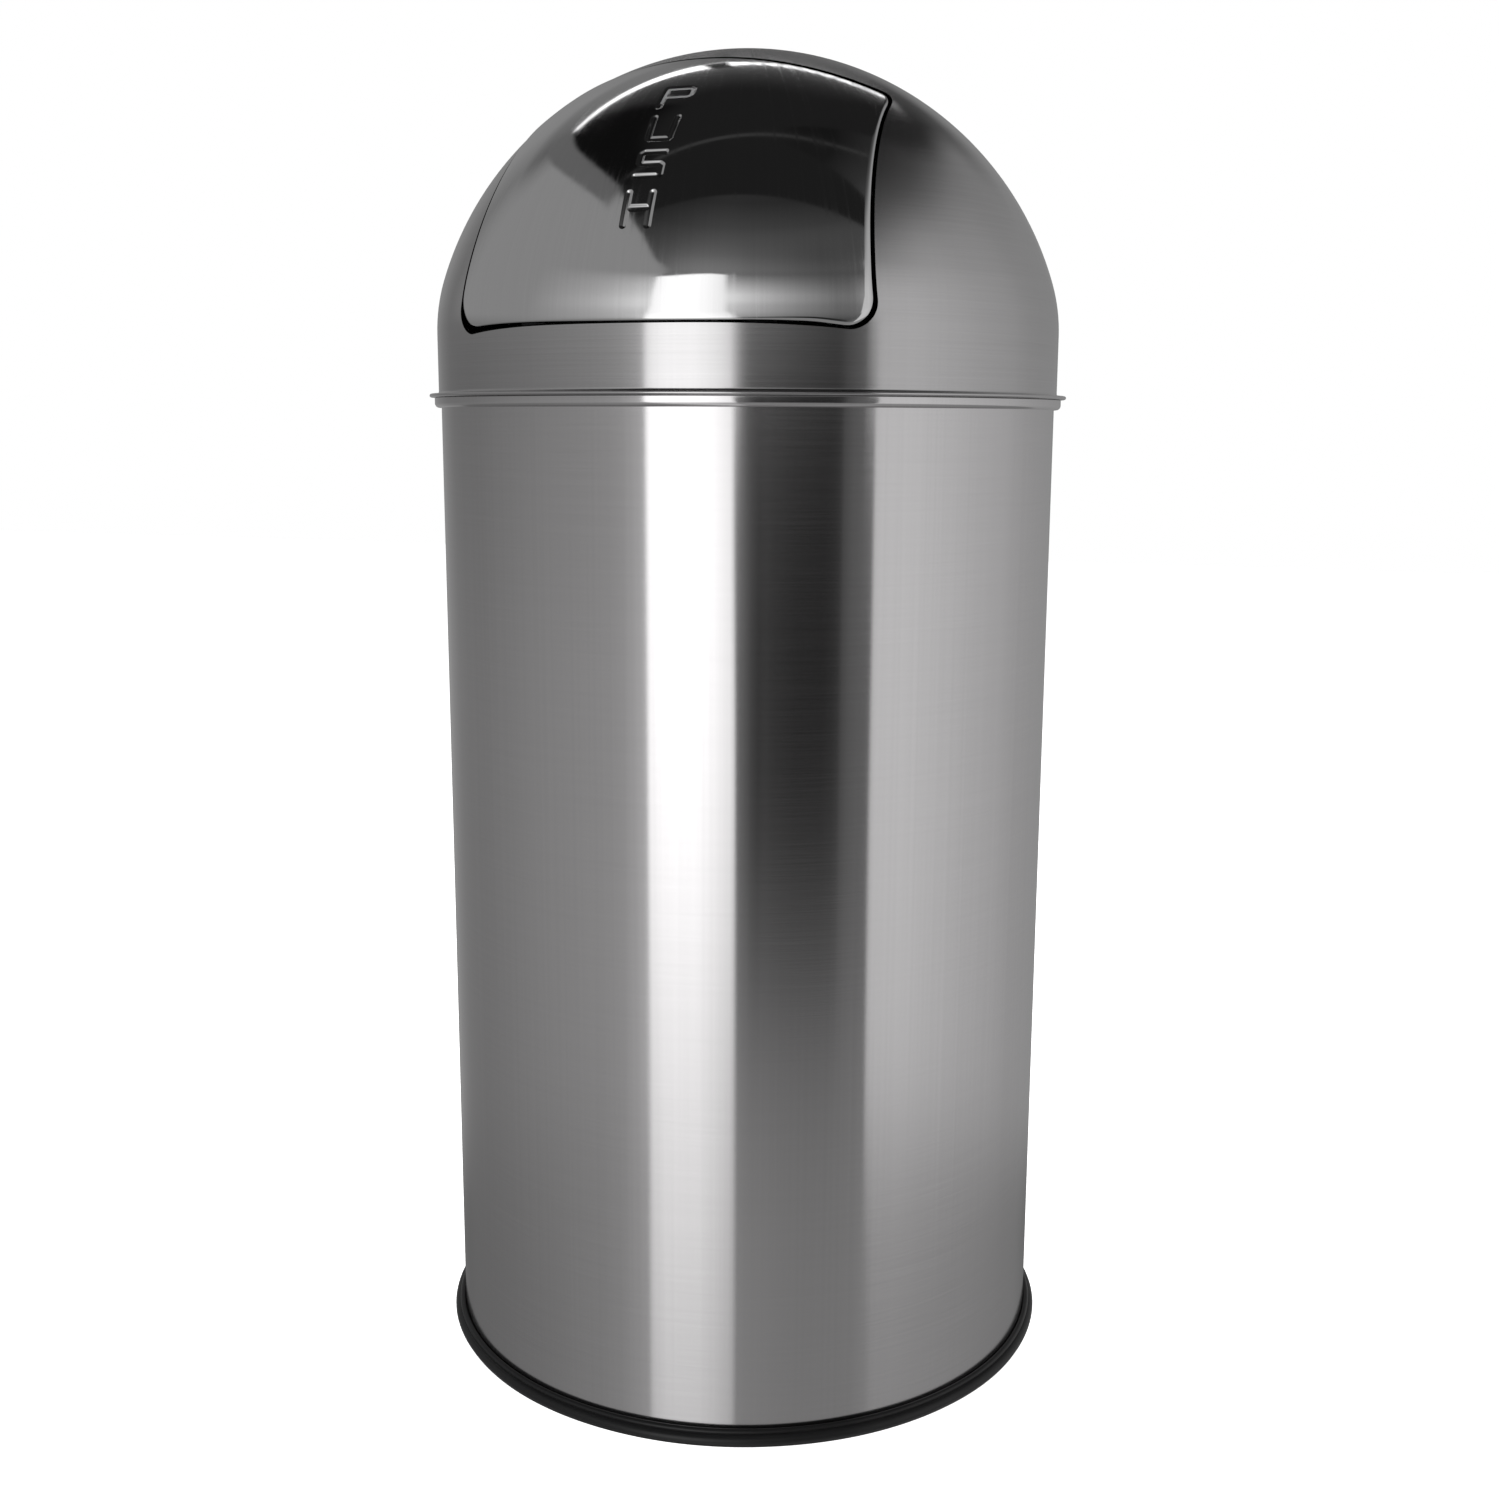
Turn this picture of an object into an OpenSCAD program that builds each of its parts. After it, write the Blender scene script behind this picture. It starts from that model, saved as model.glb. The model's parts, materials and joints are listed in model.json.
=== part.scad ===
// Dome top waste receptacle: a free-standing cylindrical bin with a lift-off
// domed lid, an inward swinging spring-closed flap and a lift-out inner bucket
// with a wire bail. The flap faces -Y. Millimetres, +Z up, origin at the
// centre of the foot ring's underside on the floor.

/* [Body] */
// Outside diameter of the cylindrical body
body_d = 350; // [344:1:356]
// Height of the underside of the lid's lip above the floor
lip_z = 555; // [500:1:620]
// Thickness of the steel sheet
sheet = 0.6; // [0.5:0.05:0.8]
// Radius of the wired bead rolled round the body's top edge
bead_r = 2.3; // [2:0.1:2.4]

/* [Foot ring] */
// Distance that the foot ring stands out past the body
foot_out = 6.4; // [5.8:0.1:7]
// Height of the foot ring's upper bead above the floor
foot_h = 10.1; // [9.8:0.1:10.6]
// Width of the foot ring inside the body
foot_in = 7.4; // [6:0.2:10]

/* [Lid] */
// Distance that the lip stands out past the body
lip_out = 6.6; // [5.6:0.1:7.6]
// Thickness of the folded lip
lip_t = 2; // [1.8:0.1:2.4]
// Height of the dome's straight wall above the lip
wall_h = 31.8; // [31:0.2:34]
// Radius of the knuckle between the straight wall and the crown
knuckle_r = 95; // [92:1:98]
// Angle that the knuckle turns through
knuckle_a = 17.63; // [17:0.01:18.2]
// Depth that the locating collar reaches down inside the body
collar_h = 25; // [18:1:32]

/* [Opening and flap] */
// Width of the opening 45 above the lip's underside
opening_low = 224.6; // [218:0.2:228]
// Width of the opening 150 above the lip's underside
opening_high = 194.4; // [190:0.2:198]
// Radius of the arc along the top of the opening
opening_arc = 238.5; // [220:0.5:260]
// Gap between the flap and the opening at the sides
side_gap = 1.5; // [1.2:0.1:2]
// Gap between the flap and the opening along the bottom
bottom_gap = 2.6; // [2.5:0.1:3]
// Distance that the flap stands proud of the dome
proud = 0.6; // [0.5:0.1:0.7]
// Depth of the flap's turned-in edge
rim_depth = 8; // [6:0.5:9]

/* [Flap hinge] */
// Distance of the hinge rod in front of the middle of the bin
hinge_y = 48; // [47:0.5:50]
// Height of the hinge rod above the lip's underside
hinge_rise = 153; // [152:0.5:154]
// Diameter of the hinge rod
rod_d = 6; // [5:0.2:6.4]
// Radial running clearance of the bushes on the rod
run_gap = 0.05; // [0.03:0.01:0.1]
// Radius of the return springs' wire
spring_wire_r = 0.55; // [0.45:0.05:0.6]
// Turns in each return spring
spring_turns = 4; // [3:1:4]

/* [Inner bucket] */
// Outside diameter of the inner bucket
liner_d = 320; // [312:1:321]
// Thickness of the inner bucket's sheet
liner_sheet = 0.5; // [0.4:0.05:0.7]
// Height of the inner bucket's rolled rim above the floor
liner_top = 522.5; // [480:0.5:524]
// Radius of the bucket's rolled rim
liner_bead_r = 2.5; // [2:0.1:2.6]
// Diameter of the bail's wire
bail_d = 5; // [4:0.2:5]
// Angle that the bail droops behind the bucket when it lies at rest
bail_droop = 14; // [8:1:14]

/* [Hidden] */
$fn = 96;

rb = body_d / 2;                        // body outside radius
rd = rb + 1.3;                          // dome outside radius at the straight wall
z_wall = lip_z + lip_t + wall_h;        // top of the dome's straight wall
kc = rd - knuckle_r;                    // radius at which the knuckle is centred
crown_z = z_wall - kc * tan(knuckle_a); // height of the crown sphere's centre
crown_r = knuckle_r + kc / cos(knuckle_a);
pan_z = 13;                             // top face of the base pan
foot_slot = 3;                          // rubber under the body's lower edge
rl = liner_d / 2;                       // bucket outside radius
liner_z = pan_z + 0.3;                  // underside of the bucket
bail_r = rl + 8.5;                      // radius of the bail's centre line
bail_z = liner_top - 17.5;              // height of the bail's pivots
bail_pin = bail_d / 2;
ear_t = 1.5;
rod_r = rod_d / 2;
hz = lip_z + hinge_rise;                // height of the hinge rod
bracket_x = 68.5;                       // inner face of a hinge bracket
bracket_t = 2.5;
ear_x = 57;                             // inner face of a flap ear
ear_w = 2;
bush_r = rod_r + 2;
tab_x = 52;                             // inner edge of a stop tab
tab_w = 16;
far = 400;

// Opening and flap outlines are stated in front view, x across and z up.
op_low = opening_low / 2;
op_high = opening_high / 2;
op_bot = lip_z + 32.6;
op_top = lip_z + 173.3;
fl_low = op_low - side_gap;
fl_high = op_high - side_gap;
fl_bot = op_bot + bottom_gap;
fl_top = op_top - 1.7;
fl_arc = opening_arc - 1.7;

// Region inside the dome's outside surface moved outwards by off, from below
// the lip up to the crown, as a half section. The crown and the knuckle meet
// along the line through both of their centres.
module dome_half(off, low = lip_z) {
    c = cos(knuckle_a);
    s = sin(knuckle_a);
    translate([0, low]) square([rd + off, z_wall - low]);
    intersection() {
        translate([kc, z_wall]) circle(knuckle_r + off);
        polygon([[kc, z_wall], [kc + far, z_wall], [kc + far * c, z_wall + far * s]]);
    }
    intersection() {
        translate([0, crown_z]) circle(crown_r + off);
        polygon([[0, crown_z], [2 * far * c, crown_z + 2 * far * s], [2 * far * c, crown_z + 2 * far], [0, crown_z + 2 * far]]);
    }
}

module dome_solid(off, low = lip_z) {
    rotate_extrude($fn = 160) dome_half(off, low);
}

// Shell between two offsets of the dome's outside surface
module dome_skin(off_in, off_out, low = lip_z) {
    rotate_extrude($fn = 160) difference() {
        dome_half(off_out, low);
        dome_half(off_in, low - 1);
    }
}

// Points on an arc of radius r round the centre c, from angle a to angle b
function arc(c, r, a, b, n) = [for (i = [0:n]) c + r * [cos(a + (b - a) * i / n), sin(a + (b - a) * i / n)]];

// Right half of an outline with a straight bottom, a straight leaning side and
// an arched top, all with rounded corners, listed upwards from the bottom.
// wl and wh are the half widths 45 and 150 above the lip's underside.
function half_outline(wl, wh, zb, zt, ra, r_low, r_high) = let(
    m = (wh - wl) / 105,
    k = sqrt(1 + m * m),
    w0 = wl - m * (lip_z + 45),
    side = atan2(-m, 1),                // direction that the side faces
    zc = zt - ra,                       // centre of the top arc
    cl = [w0 + m * (zb + r_low) - r_low * k, zb + r_low],
    q = w0 - r_high * k,
    d = ra - r_high,
    p = q * m - zc,
    zh = (-p + sqrt(p * p - k * k * (q * q + zc * zc - d * d))) / (k * k),
    ch = [q + m * zh, zh],
    top = atan2(ch[1] - zc, ch[0]))
    concat(arc(cl, r_low, -90, side, 8), arc(ch, r_high, side, top, 8),
           [for (i = [1:11]) [0, zc] + ra * [cos(top + (90 - top) * i / 11.5), sin(top + (90 - top) * i / 11.5)]]);

module outline(wl, wh, zb, zt, ra, r_low, r_high) {
    h = half_outline(wl, wh, zb, zt, ra, r_low, r_high);
    polygon(concat(h, [for (i = [len(h) - 1:-1:0]) [-h[i][0], h[i][1]]]));
}

module opening_outline() {
    outline(op_low, op_high, op_bot, op_top, opening_arc, 12, 11);
}

// Flap outline moved inwards by g
module flap_outline(g = 0) {
    outline(fl_low - g, fl_high - g, fl_bot + g, fl_top - g, fl_arc - g, 13 - g, 9.5 - g);
}

// Carries a front view outline through the front half of the bin
module through_front(y_near = -20) {
    translate([0, y_near, 0]) rotate([90, 0, 0]) linear_extrude(height = 260) children();
}

// ---------------------------------------------------------------- body

// Straight wall of sheet with a wired bead rolled outwards round its top
module body_shell() {
    color([0.66, 0.66, 0.67]) rotate_extrude($fn = 160) {
        translate([rb - sheet, foot_slot]) square([sheet, lip_z - 0.4 - bead_r - foot_slot]);
        translate([rb + 1.35, lip_z - 0.4 - bead_r]) circle(bead_r);
    }
}

// Floor of the body: a disc with its edge turned down inside the wall
module base_pan() {
    color([0.55, 0.55, 0.57]) rotate_extrude($fn = 160) {
        translate([0, pan_z - sheet]) square([rb - sheet, sheet]);
        translate([rb - 2 * sheet, foot_slot]) square([sheet, pan_z - foot_slot]);
    }
}

// Rubber channel pushed over the body's lower edge. The small upper bead
// hugs the wall and the wide lower bead stands on the floor.
module base_ring() {
    ro = rb + foot_out;
    color([0.07, 0.07, 0.08]) rotate_extrude($fn = 160) difference() {
        union() {
            translate([rb - 2 * sheet - foot_in, 0]) square([foot_in + 2 * sheet + foot_out - 1.7, foot_slot]);
            translate([rb - 2 * sheet - foot_in, 0]) square([foot_in, foot_h - 1.6]);
            translate([rb, 0]) square([1.9, foot_h - 1.9]);
            translate([ro - 3.2, 4]) circle(3.2);
            translate([rb + 1.9, foot_h - 1.9]) circle(1.9);
        }
        translate([rb - 2 * sheet, foot_slot]) square([2 * sheet, far]);
    }
}

// ---------------------------------------------------------------- inner bucket

// Straight bucket wall with a rolled rim and two pivot holes
module liner_wall() {
    color([0.62, 0.63, 0.65]) difference() {
        rotate_extrude($fn = 160) {
            translate([rl - liner_sheet, liner_z]) square([liner_sheet, liner_top - liner_bead_r - liner_z]);
            translate([rl + 1.2, liner_top - liner_bead_r]) circle(liner_bead_r);
        }
        for (s = [0, 1]) mirror([s, 0, 0]) {
            translate([rl - 6, 0, bail_z]) rotate([0, 90, 0]) cylinder(r = bail_pin + 0.6, h = 12, $fn = 48);
            ear_rivet_places() translate([rl - 6, 0, 0]) rotate([0, 90, 0]) cylinder(r = 1.6, h = 12, $fn = 48);
        }
    }
}

// Bottom of the bucket: a shallow dish seamed inside the wall
module liner_base() {
    color([0.58, 0.59, 0.61]) rotate_extrude($fn = 160) {
        translate([0, liner_z]) square([rl - liner_sheet, liner_sheet]);
        translate([rl - 2 * liner_sheet, liner_z]) square([liner_sheet, 4]);
    }
}

// Two rivets below each pivot
module ear_rivet_places() {
    for (a = [-3.2, 3.2]) rotate([0, 0, a]) translate([0, 0, bail_z - 11]) children();
}

// Curved lugs on the bucket's sides that carry the bail
module liner_ears() {
    color([0.6, 0.6, 0.62]) for (s = [0, 1]) mirror([s, 0, 0]) difference() {
        intersection() {
            rotate_extrude($fn = 160) translate([rl, bail_z - 19]) square([ear_t, 30]);
            union() {
                translate([rl - 10, -14, bail_z - 19]) cube([30, 28, 19]);
                translate([rl - 10, 0, bail_z]) rotate([0, 90, 0]) cylinder(r = 11, h = 30, $fn = 64);
            }
        }
        translate([rl - 6, 0, bail_z]) rotate([0, 90, 0]) cylinder(r = bail_pin + run_gap, h = 12, $fn = 48);
        ear_rivet_places() translate([rl - 6, 0, 0]) rotate([0, 90, 0]) cylinder(r = 1.6, h = 12, $fn = 48);
    }
}

// Domed rivets that hold the lugs to the wall
module ear_rivets() {
    color([0.7, 0.7, 0.72]) for (s = [0, 1]) mirror([s, 0, 0]) ear_rivet_places() {
        translate([rl - liner_sheet - 1.2, 0, 0]) rotate([0, 90, 0]) cylinder(r = 1.6, h = liner_sheet + ear_t + 1.8, $fn = 48);
        translate([rl + ear_t, 0, 0]) rotate([0, 90, 0]) cylinder(r = 3, h = 1, $fn = 48);
        translate([rl + ear_t + 1, 0, 0]) rotate([0, 90, 0]) cylinder(r1 = 3, r2 = 1.8, h = 0.7, $fn = 48);
        translate([rl - liner_sheet - 1.5, 0, 0]) rotate([0, 90, 0]) cylinder(r = 2.6, h = 1.4, $fn = 48);
    }
}

// Half hoop of wire whose ends turn in through the lugs
module bail_handle() {
    color([0.72, 0.72, 0.73]) translate([0, 0, bail_z]) rotate([-bail_droop, 0, 0]) {
        rotate_extrude(angle = 180, $fn = 160) translate([bail_r, 0]) circle(bail_pin, $fn = 48);
        for (s = [0, 1]) mirror([s, 0, 0]) {
            translate([bail_r, 0, 0]) sphere(bail_pin, $fn = 48);
            translate([rl - 3.5, 0, 0]) rotate([0, 90, 0]) cylinder(r = bail_pin, h = bail_r - rl + 3.5, $fn = 48);
        }
    }
}

// ---------------------------------------------------------------- lid

// Domed cover with a folded lip and the opening cut through its front
module dome_shell() {
    color([0.68, 0.68, 0.69]) difference() {
        rotate_extrude($fn = 160) {
            difference() {
                dome_half(0);
                dome_half(-sheet, lip_z - 1);
            }
            translate([rd - sheet, lip_z]) square([rb + lip_out - lip_t / 2 - rd + sheet, lip_t]);
            translate([rb + lip_out - lip_t / 2, lip_z + lip_t / 2]) circle(lip_t / 2);
            // small fillet where the wall meets the lip
            difference() {
                translate([rd - 0.2, lip_z + lip_t - 0.2]) square([1.5, 1.5]);
                translate([rd + 1.3, lip_z + lip_t + 1.3]) circle(1.3);
            }
        }
        through_front(-30) opening_outline();
    }
}

// Joggled ring inside the lid that drops into the body
module locating_collar() {
    ri = rd - sheet;                    // inside of the dome's wall
    ro = rb - sheet - 0.8;              // outside of the skirt
    color([0.5, 0.5, 0.52]) rotate_extrude($fn = 160) polygon([
        [ro - sheet, lip_z - collar_h], [ro, lip_z - collar_h],
        [ro, lip_z + 0.6], [ri, lip_z + 2.6], [ri, lip_z + 13],
        [ri - sheet, lip_z + 13], [ri - sheet, lip_z + 3], [ro - sheet, lip_z + 1.1]]);
}

// Upright plate with the rod's hole and a foot shaped to the dome's inside
module bracket() {
    difference() {
        union() {
            intersection() {
                dome_solid(-sheet);
                translate([bracket_x, 0, 0]) rotate([90, 0, 90]) linear_extrude(height = bracket_t) {
                    translate([-hinge_y, hz]) circle(6.5);
                    polygon([[-hinge_y - 3, hz + 5.7], [-hinge_y + 3, hz - 5.7],
                             [-14, hz + 6], [-12, hz + 60], [-hinge_y + 4, hz + 60]]);
                }
            }
            intersection() {
                dome_skin(-sheet - 1.2, -sheet);
                translate([60, -44, hz]) cube([bracket_x + bracket_t - 60, 32, 60]);
            }
        }
        translate([bracket_x - 5, -hinge_y, hz]) rotate([0, 90, 0]) cylinder(r = rod_r + run_gap, h = 20, $fn = 64);
    }
}

module hinge_bracket_left() { color([0.6, 0.6, 0.62]) mirror([1, 0, 0]) bracket(); }
module hinge_bracket_right() { color([0.6, 0.6, 0.62]) bracket(); }

// Rod across the lid that the flap swings on
module hinge_rod() {
    x = bracket_x + bracket_t + 3.6;
    color([0.75, 0.75, 0.76]) translate([-x, -hinge_y, hz]) rotate([0, 90, 0]) cylinder(r = rod_r, h = 2 * x, $fn = 64);
}

// Push-on caps that keep the rod in its brackets
module rod_caps() {
    x = bracket_x + bracket_t;
    color([0.35, 0.35, 0.36]) for (s = [0, 1]) mirror([s, 0, 0]) translate([x + 0.1, -hinge_y, hz]) rotate([0, 90, 0])
        difference() {
            union() {
                cylinder(r = rod_r + 2.2, h = 1.2, $fn = 64);
                cylinder(r = rod_r + 1.2, h = 4.4, $fn = 64);
            }
            translate([0, 0, -1]) cylinder(r = rod_r + 0.02, h = 4.55, $fn = 64);
        }
}

// Rubber blocks inside the dome that the flap's stop tabs close against
module stop_buffers() {
    color([0.09, 0.09, 0.1]) for (s = [0, 1]) mirror([s, 0, 0]) intersection() {
        rotate_extrude($fn = 160) translate([rd - sheet - 4, lip_z + 19.5]) square([4, 7.5]);
        translate([tab_x, -far, lip_z]) cube([tab_w, far, 60]);
    }
}

// ---------------------------------------------------------------- flap

// Upright block strokes of one sign, drawn in a cell w wide and h high
module strokes(kind, w, h, t) {
    if (kind == 0) {
        square([t, h]);
        translate([0, h - t]) square([w - 1.2, t]);
        translate([0, h * 0.42]) square([w - 1.2, t]);
        translate([w - t, h * 0.42 + 1]) square([t, h * 0.58 - 2]);
    }
    if (kind == 1) {
        translate([0, 1]) square([t, h - 1]);
        translate([w - t, 1]) square([t, h - 1]);
        translate([1, 0]) square([w - 2, t]);
    }
    if (kind == 2) {
        translate([1, h - t]) square([w - 1, t]);
        translate([1, (h - t) / 2]) square([w - 2, t]);
        square([w - 1, t]);
        translate([0, h / 2]) square([t, h / 2 - 1]);
        translate([w - t, 1]) square([t, h / 2 - 1]);
    }
    if (kind == 3) {
        square([t, h]);
        translate([w - t, 0]) square([t, h]);
        translate([0, (h - t) / 2]) square([w, t]);
    }
}

// Pressed-in instruction down the middle of the flap, four upright signs
module flap_signs() {
    left = [-7, -6.6, -6.8, -8.5];
    wide = [16, 14.6, 14.4, 15.8];
    low = [695.3, 676.9, 657.8, 633.5];
    high = [708, 691.2, 673.2, 651.6];
    intersection() {
        dome_skin(proud - 0.35, proud + 1);
        through_front() for (i = [0:3])
            translate([left[i], low[i] - 555 + lip_z]) strokes(i, wide[i], high[i] - low[i], 2.4);
    }
}

// Curved door panel with its edge turned in all round
module flap_panel() {
    color([0.72, 0.72, 0.73]) {
        difference() {
            intersection() {
                dome_skin(proud - sheet, proud);
                through_front() flap_outline();
            }
            flap_signs();
        }
        intersection() {
            difference() {
                dome_solid(proud);
                translate([0, rim_depth, 0]) dome_solid(proud, lip_z - 5);
            }
            through_front() difference() {
                flap_outline();
                flap_outline(sheet);
            }
        }
    }
}

// Strap behind the flap with two ears that reach back to the rod
module flap_strap() {
    color([0.6, 0.6, 0.62]) difference() {
        union() {
            intersection() {
                dome_skin(proud - sheet - 1.2, proud - sheet);
                translate([-ear_x - ear_w, -far, hz - 10]) cube([2 * (ear_x + ear_w), far - 20, 14]);
            }
            for (s = [0, 1]) mirror([s, 0, 0]) {
                intersection() {
                    dome_solid(proud - sheet);
                    translate([ear_x, 0, 0]) rotate([90, 0, 90]) linear_extrude(height = ear_w) {
                        translate([-hinge_y, hz]) circle(8);
                        polygon([[-hinge_y, hz - 8], [-95, hz - 14], [-130, hz - 14], [-130, hz + 4],
                                 [-78, hz + 4], [-hinge_y, hz + 8]]);
                    }
                }
                // lug that the spring pushes up on
                translate([ear_x + ear_w - 0.5, -78, hz + 0.4]) cube([5, 7, 1.2]);
            }
        }
        for (s = [0, 1]) mirror([s, 0, 0])
            translate([ear_x - 2, -hinge_y, hz]) rotate([0, 90, 0]) cylinder(r = bush_r, h = 8, $fn = 64);
    }
}

// Flanged plastic bush in each ear
module bush() {
    translate([ear_x - 1, -hinge_y, hz]) rotate([0, 90, 0]) difference() {
        union() {
            cylinder(r = bush_r, h = ear_w + 2, $fn = 64);
            translate([0, 0, ear_w + 1]) cylinder(r = bush_r + 2, h = 1, $fn = 64);
        }
        translate([0, 0, -1]) cylinder(r = rod_r + run_gap, h = ear_w + 4, $fn = 64);
    }
}

module flap_bush_left() { color([0.9, 0.9, 0.88]) mirror([1, 0, 0]) bush(); }
module flap_bush_right() { color([0.9, 0.9, 0.88]) bush(); }

// Bent strips under the flap's lower edge that meet the rubber blocks
module flap_stop_tabs() {
    r1 = rd - sheet - 4.3;              // face that meets the block
    r0 = r1 - 3.2;                      // back of the strip
    z0 = lip_z + 18.5;
    z1 = lip_z + 28;
    z2 = fl_bot + sheet;
    color([0.6, 0.6, 0.62]) for (s = [0, 1]) mirror([s, 0, 0]) intersection() {
        rotate_extrude($fn = 160) polygon([
            [r0, z2 + 1], [r0, z1 - 1], [r1 - 1, z1 - 1], [r1 - 1, z0], [r1, z0], [r1, z1],
            [r0 + 1, z1], [r0 + 1, z2], [r0 + 6, z2], [r0 + 6, z2 + 1]]);
        translate([tab_x, -far, lip_z]) cube([tab_w, far, 60]);
    }
}

// Torsion spring round the rod. One leg bears up on the bracket's foot and
// the other leg pushes up on the strap's lug, so the flap is held shut.
spring_r = rod_r + 2.2;
leg_a = 120;                            // angle where the bracket leg leaves
leg_b = 104;                            // angle where the flap leg leaves
xa = bracket_x - 1.4;
xb = ear_x + ear_w + 2.6;
spring_n = 16 * spring_turns;
function unit3(v) = v / sqrt(v * v);
function coil(t) = let(a = leg_a + t * (360 * spring_turns + leg_b - leg_a))
    [xa + (xb - xa) * t, -hinge_y + spring_r * cos(a), hz + spring_r * sin(a)];
function spring_path() = concat(
    [[xa, -hinge_y + spring_r * cos(leg_a) + 24 * sin(leg_a), hz + spring_r * sin(leg_a) - 24 * cos(leg_a)]],
    [[xa, -hinge_y + spring_r * cos(leg_a) + 2 * sin(leg_a), hz + spring_r * sin(leg_a) - 2 * cos(leg_a)]],
    [for (i = [0:spring_n]) coil(i / spring_n)],
    [[xb, -hinge_y + spring_r * cos(leg_b) - 2 * sin(leg_b), hz + spring_r * sin(leg_b) + 2 * cos(leg_b)]],
    [[xb, -hinge_y + spring_r * cos(leg_b) - 26 * sin(leg_b), hz + spring_r * sin(leg_b) + 26 * cos(leg_b)]]);

// Tube of radius r swept along a path that never runs along X
module wire(path, r, sides = 8) {
    n = len(path);
    pts = [for (i = [0:n - 1])
        let(t = unit3(path[min(i + 1, n - 1)] - path[max(i - 1, 0)]),
            u = unit3(cross(t, [1, 0, 0])), v = cross(t, u))
        for (j = [0:sides - 1]) path[i] + r * (cos(360 * j / sides) * u + sin(360 * j / sides) * v)];
    faces = concat(
        [[for (j = [0:sides - 1]) j]],
        [for (i = [0:n - 2]) for (j = [0:sides - 1])
            [i * sides + j, (i + 1) * sides + j, (i + 1) * sides + (j + 1) % sides, i * sides + (j + 1) % sides]],
        [[for (j = [sides - 1:-1:0]) (n - 1) * sides + j]]);
    polyhedron(pts, faces, convexity = 10);
}

module return_spring_left() { color([0.5, 0.5, 0.52]) mirror([1, 0, 0]) wire(spring_path(), spring_wire_r); }
module return_spring_right() { color([0.5, 0.5, 0.52]) wire(spring_path(), spring_wire_r); }

body_shell();
base_pan();
base_ring();
liner_wall();
liner_base();
liner_ears();
ear_rivets();
bail_handle();
dome_shell();
locating_collar();
hinge_bracket_left();
hinge_bracket_right();
hinge_rod();
rod_caps();
stop_buffers();
flap_panel();
flap_strap();
flap_bush_left();
flap_bush_right();
flap_stop_tabs();
return_spring_left();
return_spring_right();
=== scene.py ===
import json
import math

import bpy
import numpy as np
from mathutils import Matrix, Vector
from mathutils.geometry import delaunay_2d_cdt


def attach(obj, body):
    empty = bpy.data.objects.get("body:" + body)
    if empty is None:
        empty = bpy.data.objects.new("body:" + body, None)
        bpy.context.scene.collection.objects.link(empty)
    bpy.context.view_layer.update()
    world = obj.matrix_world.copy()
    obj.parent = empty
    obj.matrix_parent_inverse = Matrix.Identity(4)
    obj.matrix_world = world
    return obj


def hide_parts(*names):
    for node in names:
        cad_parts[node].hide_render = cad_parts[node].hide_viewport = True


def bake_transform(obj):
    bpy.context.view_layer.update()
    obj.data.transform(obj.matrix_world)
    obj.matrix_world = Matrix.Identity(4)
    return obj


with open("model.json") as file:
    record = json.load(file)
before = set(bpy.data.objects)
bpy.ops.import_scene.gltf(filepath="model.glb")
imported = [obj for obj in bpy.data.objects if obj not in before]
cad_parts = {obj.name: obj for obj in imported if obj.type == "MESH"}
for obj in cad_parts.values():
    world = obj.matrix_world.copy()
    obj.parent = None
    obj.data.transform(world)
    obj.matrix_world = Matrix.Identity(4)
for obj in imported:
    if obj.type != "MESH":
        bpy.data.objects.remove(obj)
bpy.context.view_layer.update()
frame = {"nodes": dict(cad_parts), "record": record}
nodes = frame["nodes"]
MM = 0.001
DEG = math.pi / 180

# ------------------------------------------------------------------ dome surface (millimetres)
# A straight wall, a knuckle and a spherical crown. theta is the angle round the bin from the
# front, and v the distance up the surface from the top of the straight wall.
RD, KR, ZW, KA = 176.3, 95.0, 588.8, 17.63 * DEG
KC = RD - KR
CZ = ZW - KC * math.tan(KA)
CR = KR + KC / math.cos(KA)
V1 = KR * KA
V2 = V1 + CR * (math.pi / 2 - KA)
SHEET = 0.6
PROUD = 0.6
WRAP = 135.0  # millimetres given to a radian when theta and v are triangulated


def profile_at(v):
    v = np.asarray(v, float)
    a = np.where(v < 0, 0.0, np.where(v < V1, v / KR, KA + (v - V1) / CR))
    r = np.where(v < 0, RD, np.where(v < V1, KC + KR * np.cos(a), CR * np.cos(a)))
    z = np.where(v < 0, ZW + v, np.where(v < V1, ZW + KR * np.sin(a), CZ + CR * np.sin(a)))
    return r, z, a


def surface(theta, v, off=0.0):
    theta = np.asarray(theta, float)
    r, z, a = profile_at(v)
    normal = np.stack([np.cos(a) * np.sin(theta), -np.cos(a) * np.cos(theta), np.sin(a) + 0 * theta], -1)
    point = np.stack([r * np.sin(theta), -r * np.cos(theta), z + 0 * theta], -1)
    return point + np.asarray(off)[..., None] * normal, normal


def locate(p):
    rr, z = np.hypot(p[:, 0], p[:, 1]), p[:, 2]
    ac = np.arctan2(z - CZ, rr)
    ak = np.arctan2(z - ZW, rr - KC)
    crown = ac >= KA
    v = np.where(crown, V1 + (ac - KA) * CR, np.where(z > ZW, ak * KR, z - ZW))
    return np.arctan2(p[:, 0], -p[:, 1]), v


def front_point(x, z, off=0.0):
    """The point of the front half of the surface moved out by off that is seen at x, z from the front."""
    zk = ZW + (KR + off) * math.sin(KA)
    r = np.where(z <= ZW, RD + off, np.where(
        z <= zk, KC + np.sqrt(np.maximum((KR + off) ** 2 - (z - ZW) ** 2, 0)),
        np.sqrt(np.maximum((CR + off) ** 2 - (z - CZ) ** 2, 0))))
    return np.stack([x, -np.sqrt(np.maximum(r * r - x * x, 0)), z], -1)


def unit(a):
    return a / np.linalg.norm(a, axis=-1, keepdims=True)


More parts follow.
